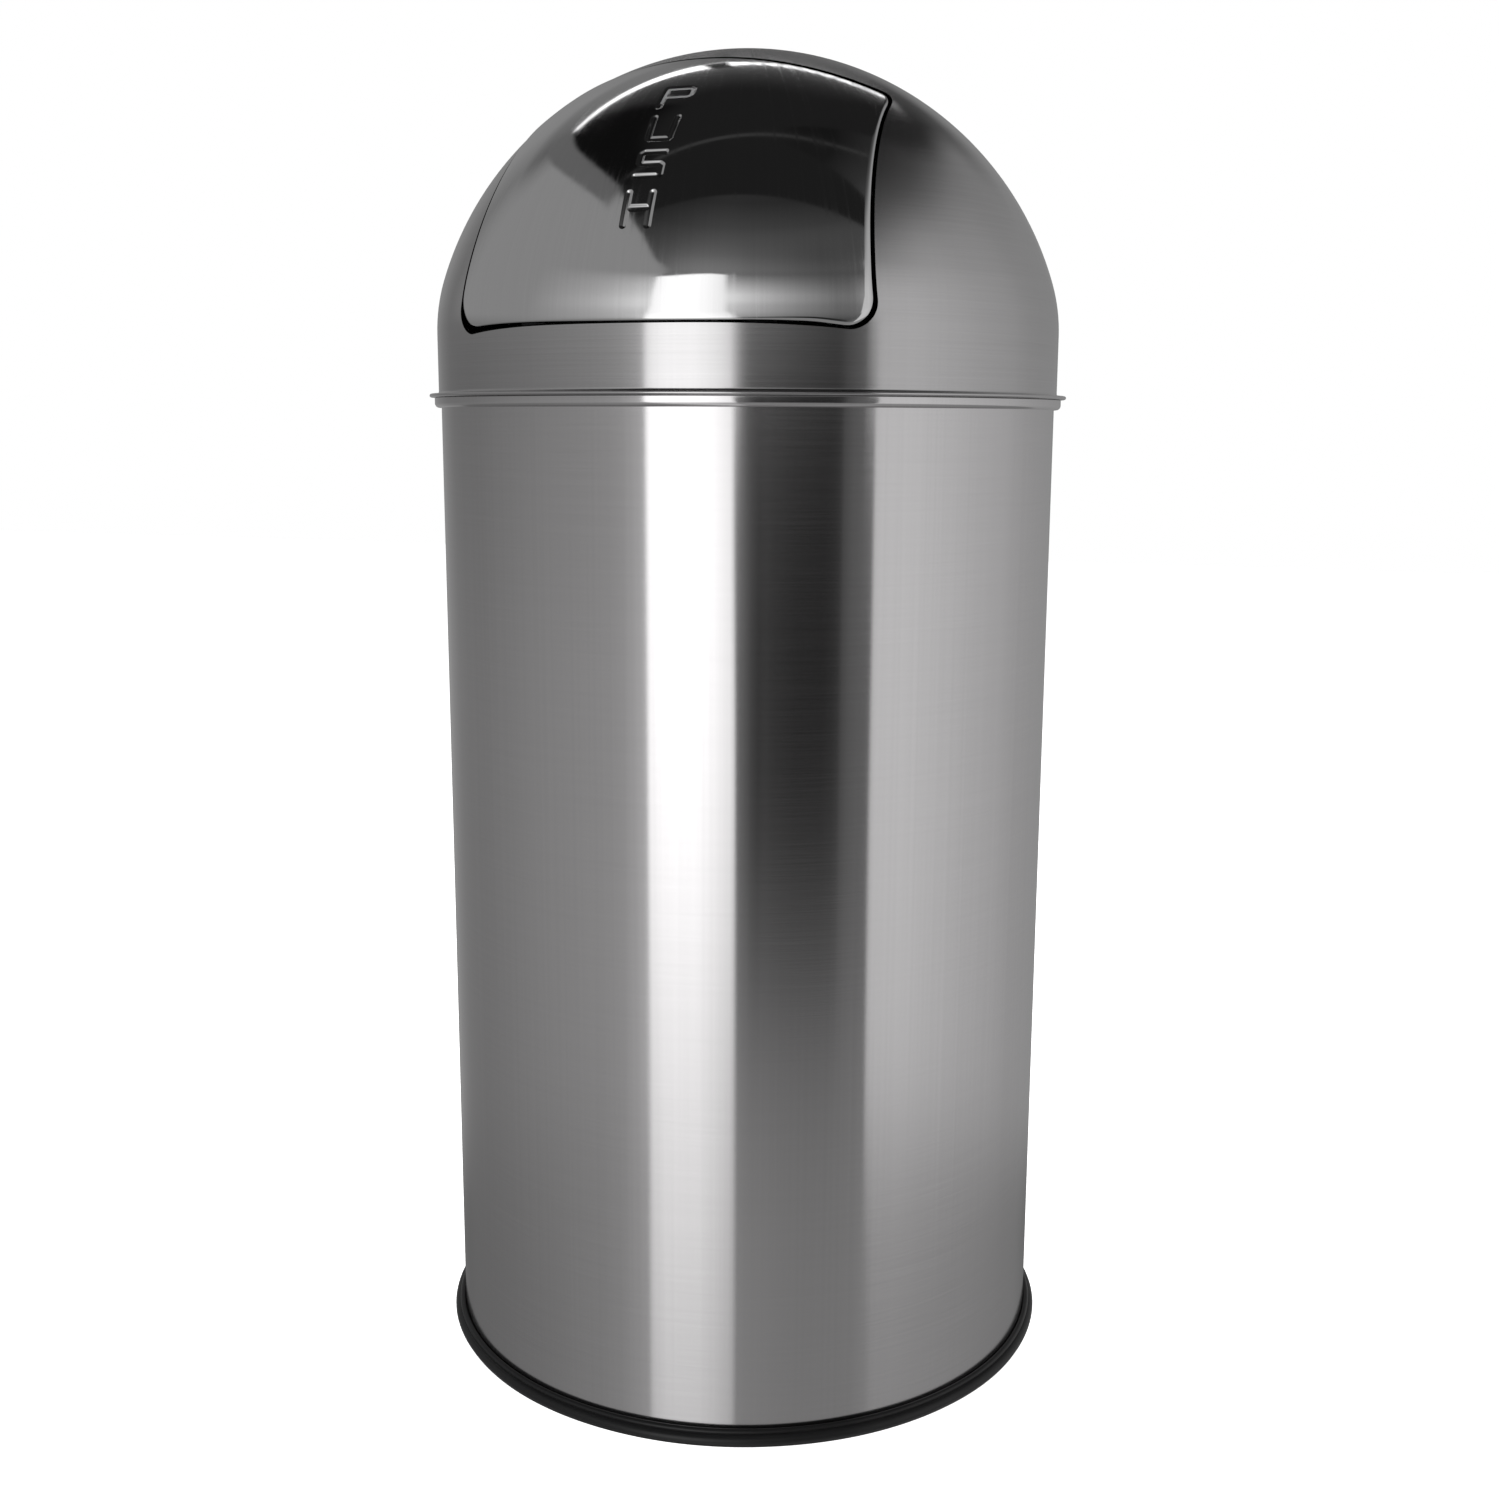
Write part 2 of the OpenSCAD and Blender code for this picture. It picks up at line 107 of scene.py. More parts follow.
# ------------------------------------------------------------------ outlines of opening and flap
def arc_points(cx, cz, r, a0, a1, step):
    n = max(3, int(abs(a1 - a0) * r / step))
    t = a0 + (a1 - a0) * np.arange(n + 1) / n
    return np.stack([cx + r * np.cos(t), cz + r * np.sin(t)], 1)


def half_outline(wl, wh, zb, zt, ra, r_low, r_high, step):
    """Right half, from the bottom centre up to the top centre."""
    m = (wh - wl) / 105.0
    k = math.sqrt(1 + m * m)
    w0 = wl - m * 600.0
    side = math.atan2(-m, 1)
    zc = zt - ra
    cl = (w0 + m * (zb + r_low) - r_low * k, zb + r_low)
    q = w0 - r_high * k
    d = ra - r_high
    p = q * m - zc
    zh = (-p + math.sqrt(p * p - k * k * (q * q + zc * zc - d * d))) / (k * k)
    ch = (q + m * zh, zh)
    top = math.atan2(zh - zc, ch[0])
    low = arc_points(cl[0], cl[1], r_low, -math.pi / 2, side, step * 0.6)
    high = arc_points(ch[0], ch[1], r_high, side, top, step * 0.6)
    crest = arc_points(0, zc, ra, top, math.pi / 2, step)
    n1 = max(2, int(low[0, 0] / step))
    n2 = max(2, int(np.hypot(*(high[0] - low[-1])) / step))
    bottom = np.stack([np.linspace(0, low[0, 0], n1 + 1), np.full(n1 + 1, zb)], 1)
    leaning = low[-1] + (high[0] - low[-1]) * (np.arange(1, n2) / n2)[:, None]
    return np.concatenate([bottom[:-1], low, leaning, high, crest[1:]])


def full_outline(right, left):
    mirrored = left[::-1] * np.array([-1.0, 1.0])
    return np.concatenate([right, mirrored[1:-1]])


def ease_in(x, a, b):
    t = np.clip((x - a) / (b - a), 0, 1)
    return t * t * (3 - 2 * t)


def arched(points):
    """How much higher the bottom edge of flap and opening runs than a level line: a flat arch."""
    x, z = np.minimum(np.abs(points[:, 0]), 103) / 100, points[:, 1]
    return (1.05 - 2.6 * x ** 4) * (1 - ease_in(z, 592, 625))


def turned(points, degrees, cx, cz):
    a = degrees * DEG
    x, z = points[:, 0] - cx, points[:, 1] - cz
    return np.stack([cx + x * math.cos(a) - z * math.sin(a), cz + x * math.sin(a) + z * math.cos(a)], 1)


def inside(points, polygon):
    x, y = points[:, 0], points[:, 1]
    hit = np.zeros(len(points), bool)
    x1, y1 = polygon[-1]
    for x2, y2 in polygon:
        if y1 != y2:
            cross = ((y1 > y) != (y2 > y)) & (x < (x2 - x1) * (y - y1) / (y2 - y1) + x1)
            hit ^= cross
        x1, y1 = x2, y2
    return hit


def distance_to(points, polyline, closed=True):
    a = polyline
    b = np.roll(polyline, -1, 0) if closed else polyline[1:]
    a = a if closed else a[:-1]
    best = np.full(len(points), 1e9)
    for p, q in zip(a, b):
        d = q - p
        t = np.clip(((points - p) @ d) / max(d @ d, 1e-12), 0, 1)
        e = points - p - t[:, None] * d
        best = np.minimum(best, (e * e).sum(1))
    return np.sqrt(best)


# ------------------------------------------------------------------ mesh helpers
def make_mesh(name, verts, faces, normals=None):
    """verts in millimetres. normals, one for each vertex, shade the faces as the true surface would."""
    verts = np.asarray(verts, float)
    used = np.zeros(len(verts), bool)
    for f in faces:
        used[list(f)] = True
    index = np.cumsum(used) - 1
    faces = [tuple(int(index[i]) for i in f) for f in faces]
    mesh = bpy.data.meshes.new(name)
    mesh.from_pydata((verts[used] * MM).tolist(), [], faces)
    mesh.update()
    mesh.polygons.foreach_set("use_smooth", [True] * len(mesh.polygons))
    if normals is not None:
        mesh.normals_split_custom_set_from_vertices(unit(np.asarray(normals, float)[used]).tolist())
    obj = bpy.data.objects.new(name, mesh)
    bpy.context.scene.collection.objects.link(obj)
    return obj


def rounded(points, seg=4, closed=True):
    """Section as rows of r, z and outward normal. A point is (r, z, radius of its corner), or
    ("arc", r, z, radius, first angle, last angle, steps), run so that the material is on the left."""
    flat = []
    for p in points:
        if p[0] == "arc":
            _, cx, cz, r, a0, a1, n = p
            for i in range(n + 1):
                a = (a0 + (a1 - a0) * i / n) * DEG
                s = 1 if a1 > a0 else -1
                flat.append((cx + r * math.cos(a), cz + r * math.sin(a), None, s * math.cos(a), s * math.sin(a)))
        else:
            flat.append((p[0], p[1], p[2], 0, 0))
    rows = []
    n = len(flat)
    for i, (x, z, rad, nx, nz) in enumerate(flat):
        if rad is None:
            rows.append((x, z, nx, nz))
            continue
        before, after = flat[i - 1], flat[(i + 1) % n]
        if not closed and i in (0, n - 1):
            other = after if i == 0 else before
            d = np.array([other[0] - x, other[1] - z]) * (1 if i == 0 else -1)
            d /= np.linalg.norm(d)
            rows.append((x, z, d[1], -d[0]))
            continue
        d0 = np.array([x - before[0], z - before[1]])
        d1 = np.array([after[0] - x, after[1] - z])
        l0, l1 = np.linalg.norm(d0), np.linalg.norm(d1)
        d0, d1 = d0 / l0, d1 / l1
        turn = math.atan2(d0[0] * d1[1] - d0[1] * d1[0], d0 @ d1)
        if abs(turn) < 1e-4 or rad <= 0:
            m = unit(d0 + d1)
            rows.append((x, z, m[1], -m[0]))
            continue
        back = min(rad * math.tan(abs(turn) / 2), 0.48 * l0, 0.48 * l1)
        real = back / math.tan(abs(turn) / 2)
        s = 1 if turn > 0 else -1
        start = np.array([x, z]) - d0 * back
        left = np.array([-d0[1], d0[0]]) * s
        centre = start + left * real
        for j in range(seg + 1):
            a = turn * j / seg
            c, sn = math.cos(a), math.sin(a)
            d = np.array([d0[0] * c - d0[1] * sn, d0[0] * sn + d0[1] * c])
            out = np.array([d[1], -d[0]])
            p = centre + out * real * s
            rows.append((p[0], p[1], out[0], out[1]))
    return rows


def revolve(name, rows, steps=240, closed=True, thetas=None, shift=None):
    """Turns a section round the bin's axis. shift(theta, r, z) moves points in or out."""
    if thetas is None:
        thetas = np.arange(steps) * 2 * math.pi / steps - math.pi
    rows = [r for r in rows]
    verts, normals, index = [], [], {}
    for i, t in enumerate(thetas):
        for j, (r, z, nr, nz) in enumerate(rows):
            if r < 1e-6:
                if (0, j) in index:
                    index[(i, j)] = index[(0, j)]
                    continue
                verts.append((0, 0, z)); normals.append((0, 0, 1 if nz >= 0 else -1))
            else:
                rr = r + (shift(t, r, z) if shift else 0)
                verts.append((rr * math.sin(t), -rr * math.cos(t), z))
                normals.append((nr * math.sin(t), -nr * math.cos(t), nz))
            index[(i, j)] = len(verts) - 1
    faces = []
    n, m = len(thetas), len(rows)
    for i in range(n):
        k = (i + 1) % n
        for j in range(m if closed else m - 1):
            q = (j + 1) % m
            f = [index[(i, j)], index[(k, j)], index[(k, q)], index[(i, q)]]
            f = [a for p, a in enumerate(f) if a != f[p - 1]]
            if len(f) > 2:
                faces.append(f)
    return make_mesh(name, verts, faces, normals)


def sweep(name, path, radius, sides=16, up=(1, 0, 0), closed_ends=True):
    """Round wire along a path, with domed ends."""
    path = np.asarray(path, float)
    tangent = unit(np.gradient(path, axis=0))
    u = np.cross(tangent[0], up)
    u = unit(u) if np.linalg.norm(u) > 1e-6 else np.array([0, 0, 1.0])
    rings, centres, leans = [], [], []
    frames = []
    for i, t in enumerate(tangent):
        u = u - t * (u @ t)
        u = u / np.linalg.norm(u)
        frames.append((u.copy(), np.cross(t, u)))
    a = np.arange(sides) * 2 * math.pi / sides
    stations = []
    for k in (80, 55, 30):
        stations.append((0, -math.sin(k * DEG), math.cos(k * DEG)))
    body = [(i, 0.0, 1.0) for i in range(len(path))]
    ends = [(len(path) - 1, math.sin(k * DEG), math.cos(k * DEG)) for k in (30, 55, 80)]
    verts, normals = [], []
    for i, along, wide in stations + body + ends:
        u, w = frames[i]
        ring = np.cos(a)[:, None] * u + np.sin(a)[:, None] * w
        verts.extend(path[i] + tangent[i] * along * radius + ring * radius * wide)
        normals.extend(ring * wide + tangent[i] * along)
    count = len(stations) + len(body) + len(ends)
    faces = []
    for i in range(count - 1):
        for j in range(sides):
            k = (j + 1) % sides
            faces.append((i * sides + j, i * sides + k, (i + 1) * sides + k, (i + 1) * sides + j))
    faces.append(tuple(range(sides))[::-1])
    faces.append(tuple(range((count - 1) * sides, count * sides)))
    obj = make_mesh(name, verts, faces, normals)
    return obj


def strip(faces, a, b):
    """Quads between two closed rings of vertex numbers, a before b in the direction of travel."""
    n = len(a)
    for i in range(n):
        k = (i + 1) % n
        faces.append((a[i], a[k], b[k], b[i]))


# ------------------------------------------------------------------ materials
class Graph:
    def __init__(self, tree):
        self.tree = tree
        tree.nodes.clear()

    def node(self, kind, inputs=None, **props):
        n = self.tree.nodes.new("ShaderNode" + kind)
        for k, v in props.items():
            setattr(n, k, v)
        for k, v in (inputs or {}).items():
            socket = n.inputs[k]
            if isinstance(v, bpy.types.NodeSocket):
                self.tree.links.new(v, socket)
            else:
                socket.default_value = v
        return n

    def math(self, op, a, b=0.0, c=0.0, clamp=False):
        return self.node("Math", {0: a, 1: b, 2: c}, operation=op, use_clamp=clamp).outputs[0]

    def span(self, x, a, b, c=0.0, d=1.0, smooth=True):
        return self.node("MapRange", {0: x, 1: a, 2: b, 3: c, 4: d}, clamp=True,
                         interpolation_type="SMOOTHSTEP" if smooth else "LINEAR").outputs[0]

    def curve(self, x, points):
        """Straight lines through points of x and value, level beyond the first and last."""
        if len(points) > 3:
            x0, x1 = points[0][0], points[-1][0]
            n = self.node("FloatCurve", {1: self.span(x, x0, x1, smooth=False)})
            m = n.mapping
            m.use_clip = False
            c = m.curves[0]
            while len(c.points) < len(points):
                c.points.new(0.5, 0.5)
            for p, (px, py) in zip(c.points, points):
                p.location = ((px - x0) / (x1 - x0), py)
                p.handle_type = "VECTOR"
            m.update()
            return n.outputs[0]
        total = points[0][1]
        for (x0, y0), (x1, y1) in zip(points[:-1], points[1:]):
            if abs(y1 - y0) > 1e-9:
                total = self.math("ADD", total, self.span(x, x0, x1, 0.0, y1 - y0, smooth=False))
        return total

    def mix(self, f, a, b):
        return self.node("Mix", {0: f, 2: a, 3: b}, data_type="FLOAT").outputs[0]

    def mix_colour(self, f, a, b, blend="MIX"):
        n = self.node("Mix", data_type="RGBA", blend_type=blend)
        for k, v in ((0, f), (6, a), (7, b)):
            if isinstance(v, bpy.types.NodeSocket):
                self.tree.links.new(v, n.inputs[k])
            else:
                n.inputs[k].default_value = v
        return n.outputs[2]

    def vector(self, x, y, z):
        return self.node("CombineXYZ", {0: x, 1: y, 2: z}).outputs[0]

    def noise(self, vector, scale, detail=2.0, rough=0.5, distortion=0.0):
        return self.node("TexNoise", {"Vector": vector, "Scale": scale, "Detail": detail,
                                      "Roughness": rough, "Distortion": distortion}).outputs[0]

    def bump(self, height, strength, distance, normal=None):
        ins = {"Height": height, "Strength": strength, "Distance": distance}
        if normal is not None:
            ins["Normal"] = normal
        return self.node("Bump", ins).outputs[0]


def grey(v, tint=(1.0, 1.0, 1.0)):
    return (v * tint[0], v * tint[1], v * tint[2], 1.0)


def new_material(name):
    m = bpy.data.materials.new(name)
    m.use_nodes = True
    g = Graph(m.node_tree)
    shader = g.node("BsdfPrincipled")
    out = g.node("OutputMaterial", {"Surface": shader.outputs[0]})
    return m, g, shader


def set_inputs(g, shader, **values):
    for k, v in values.items():
        name = k.replace("_", " ")
        socket = shader.inputs[name]
        if isinstance(v, bpy.types.NodeSocket):
            g.tree.links.new(v, socket)
        else:
            socket.default_value = v


def grain_axes(g, kind, along, across):
    """Coordinates stretched along the brushing: round the bin, round the dome, or up the flap."""
    p = g.node("TexCoord").outputs["Object"]
    s = g.node("SeparateXYZ", {0: p})
    x, y, z = s.outputs[0], s.outputs[1], s.outputs[2]
    if kind == "body":
        return g.vector(g.math("MULTIPLY", x, along), g.math("MULTIPLY", y, along), g.math("MULTIPLY", z, across)), (x, y, z)
    r = g.math("SQRT", g.math("ADD", g.math("MULTIPLY", x, x), g.math("MULTIPLY", y, y)))
    lat = g.math("ARCTAN2", g.math("SUBTRACT", z, CZ * MM), r)
    if kind == "dome":
        return g.vector(g.math("MULTIPLY", x, along), g.math("MULTIPLY", y, along), g.math("MULTIPLY", lat, across * CR * MM)), (x, y, z)
    around = g.math("ARCTAN2", x, g.math("MULTIPLY", y, -1.0))
    return g.vector(g.math("MULTIPLY", around, across * CR * MM), g.math("MULTIPLY", lat, along * CR * MM), 0.0), (x, y, z)


def brushed(name, kind, colour, rough, aniso, turn, along=18.0, across=2400.0, grain=0.03, relief=0.15, wave=0.0,
            vary=0.035, scratch=0.0, reflection_streak=0.0):
    m, g, shader = new_material(name)
    fine, (x, y, z) = grain_axes(g, kind, along, across)
    lines = g.noise(fine, 1.0, 3.0, 0.62)
    coarse_axes, _ = grain_axes(g, kind, along * 0.45, across * 0.16)
    bands = g.noise(coarse_axes, 1.0, 2.0, 0.5)
    cloud = g.noise(g.node("TexCoord").outputs["Object"], 7.0, 3.0, 0.55)
    tone = g.math("ADD", g.math("MULTIPLY", g.math("SUBTRACT", lines, 0.5), grain * 3.0),
                  g.math("ADD", g.math("MULTIPLY", g.math("SUBTRACT", bands, 0.5), grain * 1.3),
                         g.math("MULTIPLY", g.math("SUBTRACT", cloud, 0.5), 0.05)))
    if reflection_streak:
        # painted reflection: faint upright streaks in the colour, standing in for reflections stretched up and down
        # the brushed steel
        around = g.math("ARCTAN2", x, g.math("MULTIPLY", y, -1.0))
        reflection_streaks = g.noise(g.vector(g.math("MULTIPLY", around, 95.0), g.math("MULTIPLY", z, 1.6), 0.0), 1.0, 3.0, 0.6)
        tone = g.math("ADD", tone, g.math("MULTIPLY", g.math("SUBTRACT", reflection_streaks, 0.5), reflection_streak))
    tone = g.math("ADD", tone, 1.0)
    base = g.mix_colour(1.0, colour, g.vector(tone, tone, tone), "MULTIPLY")
    r = g.math("ADD", rough, g.math("ADD", g.math("MULTIPLY", g.math("SUBTRACT", lines, 0.5), vary * 2),
                                    g.math("MULTIPLY", g.math("SUBTRACT", cloud, 0.5), vary)), clamp=True)
    if scratch:
        # fine scratches lie over the polish and spread the light sideways
        scored = g.math("ADD", g.math("MULTIPLY", g.span(lines, 0.45, 0.8), 0.5), g.span(bands, 0.48, 0.72))
        r = g.math("ADD", r, g.math("MULTIPLY", scored, scratch), clamp=True)
    normal = g.bump(lines, relief, 0.00004)
    if wave:
        a = g.math("ARCTAN2", x, g.math("MULTIPLY", y, -1.0))
        slow = g.noise(g.vector(g.math("MULTIPLY", a, 11.0), g.math("MULTIPLY", z, 1.1), 0.0), 1.0, 2.0, 0.45)
        normal = g.bump(slow, wave, 0.0006, normal)
    set_inputs(g, shader, Base_Color=base, Metallic=1.0, Roughness=r, Normal=normal, Anisotropic=aniso,
               Anisotropic_Rotation=turn)
    if aniso:
        set_inputs(g, shader, Tangent=g.node("Tangent", direction_type="RADIAL", axis="Z").outputs[0])
    return m


def rubber(name, colour, rough, grainy=900.0, lines=False, shine=0.5):
    m, g, shader = new_material(name)
    p = g.node("TexCoord").outputs["Object"]
    fine = g.noise(p, grainy, 3.0, 0.6)
    cloud = g.noise(p, 30.0, 4.0, 0.6)
    dust = g.span(g.noise(p, 9.0, 5.0, 0.65), 0.5, 0.8)
    base = g.mix_colour(g.math("MULTIPLY", dust, 0.25), colour, grey(colour[0] * 3.5, (1.0, 0.98, 0.95)))
    base = g.mix_colour(g.math("MULTIPLY", cloud, 0.35), base, grey(colour[0] * 0.6))
    r = g.math("ADD", rough, g.math("MULTIPLY", g.math("SUBTRACT", cloud, 0.5), 0.22))
    height = fine
    if lines:
        s = g.node("SeparateXYZ", {0: p})
        along = g.noise(g.vector(g.math("MULTIPLY", s.outputs[0], 12.0), g.math("MULTIPLY", s.outputs[1], 12.0),
                                 g.math("MULTIPLY", s.outputs[2], 900.0)), 1.0, 2.0, 0.5)
        height = g.math("ADD", g.math("MULTIPLY", fine, 0.5), along)
    set_inputs(g, shader, Base_Color=base, Roughness=r, Normal=g.bump(height, 0.25, 0.00005))
    shader.inputs["Specular IOR Level"].default_value = shine
    return m


def galvanised(name, colour, spangle=95.0):
    m, g, shader = new_material(name)
    p = g.node("TexCoord").outputs["Object"]
    warp = g.noise(p, 60.0, 2.0, 0.5)
    cell = g.node("TexVoronoi", {"Vector": p, "Scale": spangle, "Randomness": 1.0}, feature="F1")
    facet = g.node("SeparateColor", {0: cell.outputs["Color"]}).outputs[0]
    frost = g.noise(p, 420.0, 4.0, 0.65)
    stain = g.span(g.noise(p, 6.0, 5.0, 0.6), 0.45, 0.8)
    tone = g.math("ADD", 0.84, g.math("ADD", g.math("MULTIPLY", facet, 0.22), g.math("MULTIPLY", frost, 0.10)))
    tone = g.math("SUBTRACT", tone, g.math("MULTIPLY", stain, 0.12))
    base = g.mix_colour(1.0, colour, g.vector(tone, tone, tone), "MULTIPLY")
    r = g.math("ADD", 0.34, g.math("ADD", g.math("MULTIPLY", facet, 0.18), g.math("MULTIPLY", warp, 0.10)))
    set_inputs(g, shader, Base_Color=base, Metallic=0.72, Roughness=r,
               Normal=g.bump(g.math("ADD", facet, g.math("MULTIPLY", frost, 0.4)), 0.12, 0.0002))
    return m


def plated(name, colour, rough, metal=0.85, scratch=0.4):
    """Pressed and zinc plated: faint rolling lines, scuffs and a little colour drift."""
    m, g, shader = new_material(name)
    p = g.node("TexCoord").outputs["Object"]
    s = g.node("SeparateXYZ", {0: p})
    roll = g.noise(g.vector(g.math("MULTIPLY", s.outputs[0], 40.0), g.math("MULTIPLY", s.outputs[1], 900.0),
                            g.math("MULTIPLY", s.outputs[2], 700.0)), 1.0, 2.0, 0.6)
    cloud = g.noise(p, 45.0, 4.0, 0.6)
    scuff = g.span(g.noise(p, 260.0, 3.0, 0.7, 1.2), 0.58, 0.72)
    base = g.mix_colour(g.math("MULTIPLY", cloud, 0.5), colour,
                        (colour[0] * 0.86, colour[1] * 0.87, colour[2] * 0.84, 1.0))
    base = g.mix_colour(g.math("MULTIPLY", scuff, 0.3), base, grey(0.7))
    r = g.math("ADD", rough, g.math("ADD", g.math("MULTIPLY", g.math("SUBTRACT", cloud, 0.5), 0.2),
                                    g.math("MULTIPLY", scuff, -0.08)))
    height = g.math("ADD", g.math("MULTIPLY", roll, scratch), g.math("MULTIPLY", cloud, 0.5))
    set_inputs(g, shader, Base_Color=base, Metallic=metal, Roughness=r, Normal=g.bump(height, 0.2, 0.00006))
    return m


def drawn(name, colour, rough):
    """Bright drawn wire and rod: die lines along it and small marks."""
    m, g, shader = new_material(name)
    p = g.node("TexCoord").outputs["Object"]
    s = g.node("SeparateXYZ", {0: p})
    lines = g.noise(g.vector(g.math("MULTIPLY", s.outputs[0], 30.0), g.math("MULTIPLY", s.outputs[1], 1600.0),
                             g.math("MULTIPLY", s.outputs[2], 1600.0)), 1.0, 2.0, 0.5)
    marks = g.span(g.noise(p, 340.0, 3.0, 0.7), 0.6, 0.7)
    base = g.mix_colour(g.math("MULTIPLY", marks, 0.35), colour, grey(0.30, (1.0, 0.97, 0.92)))
    r = g.math("ADD", rough, g.math("MULTIPLY", marks, 0.15))
    set_inputs(g, shader, Base_Color=base, Metallic=1.0, Roughness=r, Normal=g.bump(lines, 0.15, 0.00003))
    return m


def nylon(name, colour):
    m, g, shader = new_material(name)
    p = g.node("TexCoord").outputs["Object"]
    cloud = g.noise(p, 120.0, 3.0, 0.5)
    base = g.mix_colour(g.math("MULTIPLY", cloud, 0.4), colour, (colour[0] * 0.9, colour[1] * 0.88, colour[2] * 0.8, 1.0))
    r = g.math("ADD", 0.36, g.math("MULTIPLY", cloud, 0.15))
    set_inputs(g, shader, Base_Color=base, Roughness=r, Normal=g.bump(g.noise(p, 1500.0, 2.0), 0.12, 0.00004))
    shader.inputs["Subsurface Weight"].default_value = 0.08
    shader.inputs["Subsurface Scale"].default_value = 0.002
    return m


# The last number given to each steel sets the painted reflection streaks in its colour.
MATS = {
    "body_steel": brushed("body_steel", "body", grey(0.62, (1.014, 0.996, 1.004)), 0.115, 0.92, 0.25, wave=0.05, reflection_streak=0.085),
    "dome_steel": brushed("dome_steel", "dome", grey(0.51, (1.01, 0.996, 1.003)), 0.16, 0.84, 0.25, along=9.0, across=1500.0, grain=0.05,
                          reflection_streak=0.07),
    "flap_steel": brushed("flap_steel", "flap", grey(0.66, (1.0, 0.995, 1.0)), 0.055, 0.9, 0.0, along=8.0,
                          across=2200.0, grain=0.03, relief=0.05, vary=0.012, scratch=0.045, reflection_streak=0.05),
    "foot_rubber": rubber("foot_rubber", grey(0.006, (1.0, 1.0, 1.05)), 0.33, lines=True, shine=0.3),
    "inner_zinc": galvanised("inner_zinc", (0.60, 0.62, 0.64, 1.0)),
    "hidden_steel": plated("hidden_steel", (0.58, 0.58, 0.59, 1.0), 0.34),
    "rod_steel": drawn("rod_steel", (0.66, 0.66, 0.67, 1.0), 0.2),
    "cap_steel": plated("cap_steel", (0.05, 0.05, 0.055, 1.0), 0.4, 0.7),
    "buffer_rubber": rubber("buffer_rubber", grey(0.018), 0.6, 700.0),
    "bush_plastic": nylon("bush_plastic", (0.78, 0.77, 0.70, 1.0)),
    "spring_steel": drawn("spring_steel", (0.42, 0.42, 0.44, 1.0), 0.26),
}


def finish_piece(obj, slot, body=None, *replaced):
    obj.data.materials.clear()
    obj.data.materials.append(MATS[slot])
    if body:
        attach(obj, body)
    if replaced:
        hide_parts(*replaced)
    return obj


# CAD nodes that stay take the procedural finish of their slot.
for part in frame["record"]["subparts"]:
    obj = nodes[part["node"]]
    obj.data.materials.clear()
    obj.data.materials.append(MATS[part["material_slot"]])


# ------------------------------------------------------------------ body
def groove(theta, r, z):
    """Shallow weld line down the back of the wall."""
    back = math.pi - abs(theta)
    if r < 174.9 or z > 547:
        return 0.0
    d = back * 175.0
    return -0.28 * max(0.0, 1 - (d / 0.9) ** 2) if d < 0.9 else 0.0


seam = np.array([0.0, 0.25, 0.5, 0.75, 1.0, 2.0]) / 175.0
even = np.arange(1, 240) * 2 * math.pi / 240 - math.pi
thetas = np.array(sorted(set(np.round(np.concatenate([
    [-math.pi], -math.pi + seam[1:], even, (math.pi - seam[1:])]), 7))))
body_rows = rounded(
    [(175.0, 3.0, 0.12)] + [(175.0, z, 0) for z in range(40, 545, 45)] + [(175.0, 548.7, 0.8),
     ("arc", 176.22, 550.8, 2.5, -116, -4, 14), (178.72, 553.9, 0.55), (173.75, 553.9, 0.9), (173.75, 550.4, 0.9), (174.4, 549.1, 0.5), (174.4, 300, 0), (174.4, 3.0, 0.12)])
body = revolve("body_skin", body_rows, thetas=thetas, shift=groove)
finish_piece(body, "body_steel", "bin_body", "body_shell")

pan_rows = rounded([
    (0, 12.4, 0), (60, 12.4, 2), (62, 11.9, 2), (70, 11.9, 2), (72, 12.4, 2), (171.6, 12.4, 2.2), (173.8, 10.4, 0.4),
    (173.8, 3.2, 0.2), (174.4, 3.2, 0.2), (174.4, 11.4, 1.4), (172.6, 13.0, 1.4), (72, 13.0, 2), (70, 12.5, 2),
    (62, 12.5, 2), (60, 13.0, 2), (0, 13.0, 0)], closed=False)
pan = revolve("floor_pan", pan_rows, closed=False)
finish_piece(pan, "hidden_steel", "bin_body", "base_pan")


def wobble(theta, r, z):
    if r < 175.5:
        return 0.0
    return 0.10 * math.sin(3 * theta + 0.7) + 0.06 * math.sin(11 * theta) - 0.16


foot_rows = rounded([
    (166.4, 0.0, 0.7), (180.1, 0.0, 0.6), ("arc", 178.3, 3.5, 3.15, -52, 70, 14), (178.4, 6.7, 0.35),
    ("arc", 177.0, 7.4, 1.65, -14, 168, 14), (175.02, 7.4, 0.2), (175.02, 3.0, 0.2), (173.8, 3.0, 0.2),
    (173.8, 8.5, 0.5), (166.4, 8.5, 0.7)])
foot_rows = [(r, max(z, 0.0), nr, nz) for r, z, nr, nz in foot_rows]
foot = revolve("foot_ring", foot_rows, shift=wobble)
finish_piece(foot, "foot_rubber", "bin_body", "base_ring")

# ------------------------------------------------------------------ inner bucket
liner_rows = rounded([
    (160.0, 13.6, 0.2), (160.0, 54, 2), (160.8, 57, 2.5), (160.8, 61, 2.5), (160.0, 64, 2), (160.0, 440, 2),
    (160.9, 443.5, 2.5), (160.9, 448.5, 2.5), (160.0, 452, 2), (160.0, 517.4, 0.8),
    ("arc", 161.2, 520.0, 2.5, -112, 222, 26), (159.5, 517.2, 0.5), (159.5, 452, 2), (160.4, 448.5, 2.5),
    (160.4, 443.5, 2.5), (159.5, 440, 2), (159.5, 64, 2), (160.3, 61, 2.5), (160.3, 57, 2.5), (159.5, 54, 2),
    (159.5, 13.6, 0.2)])
liner = revolve("bucket_wall", liner_rows)
finish_piece(liner, "inner_zinc", "liner", "liner_wall")

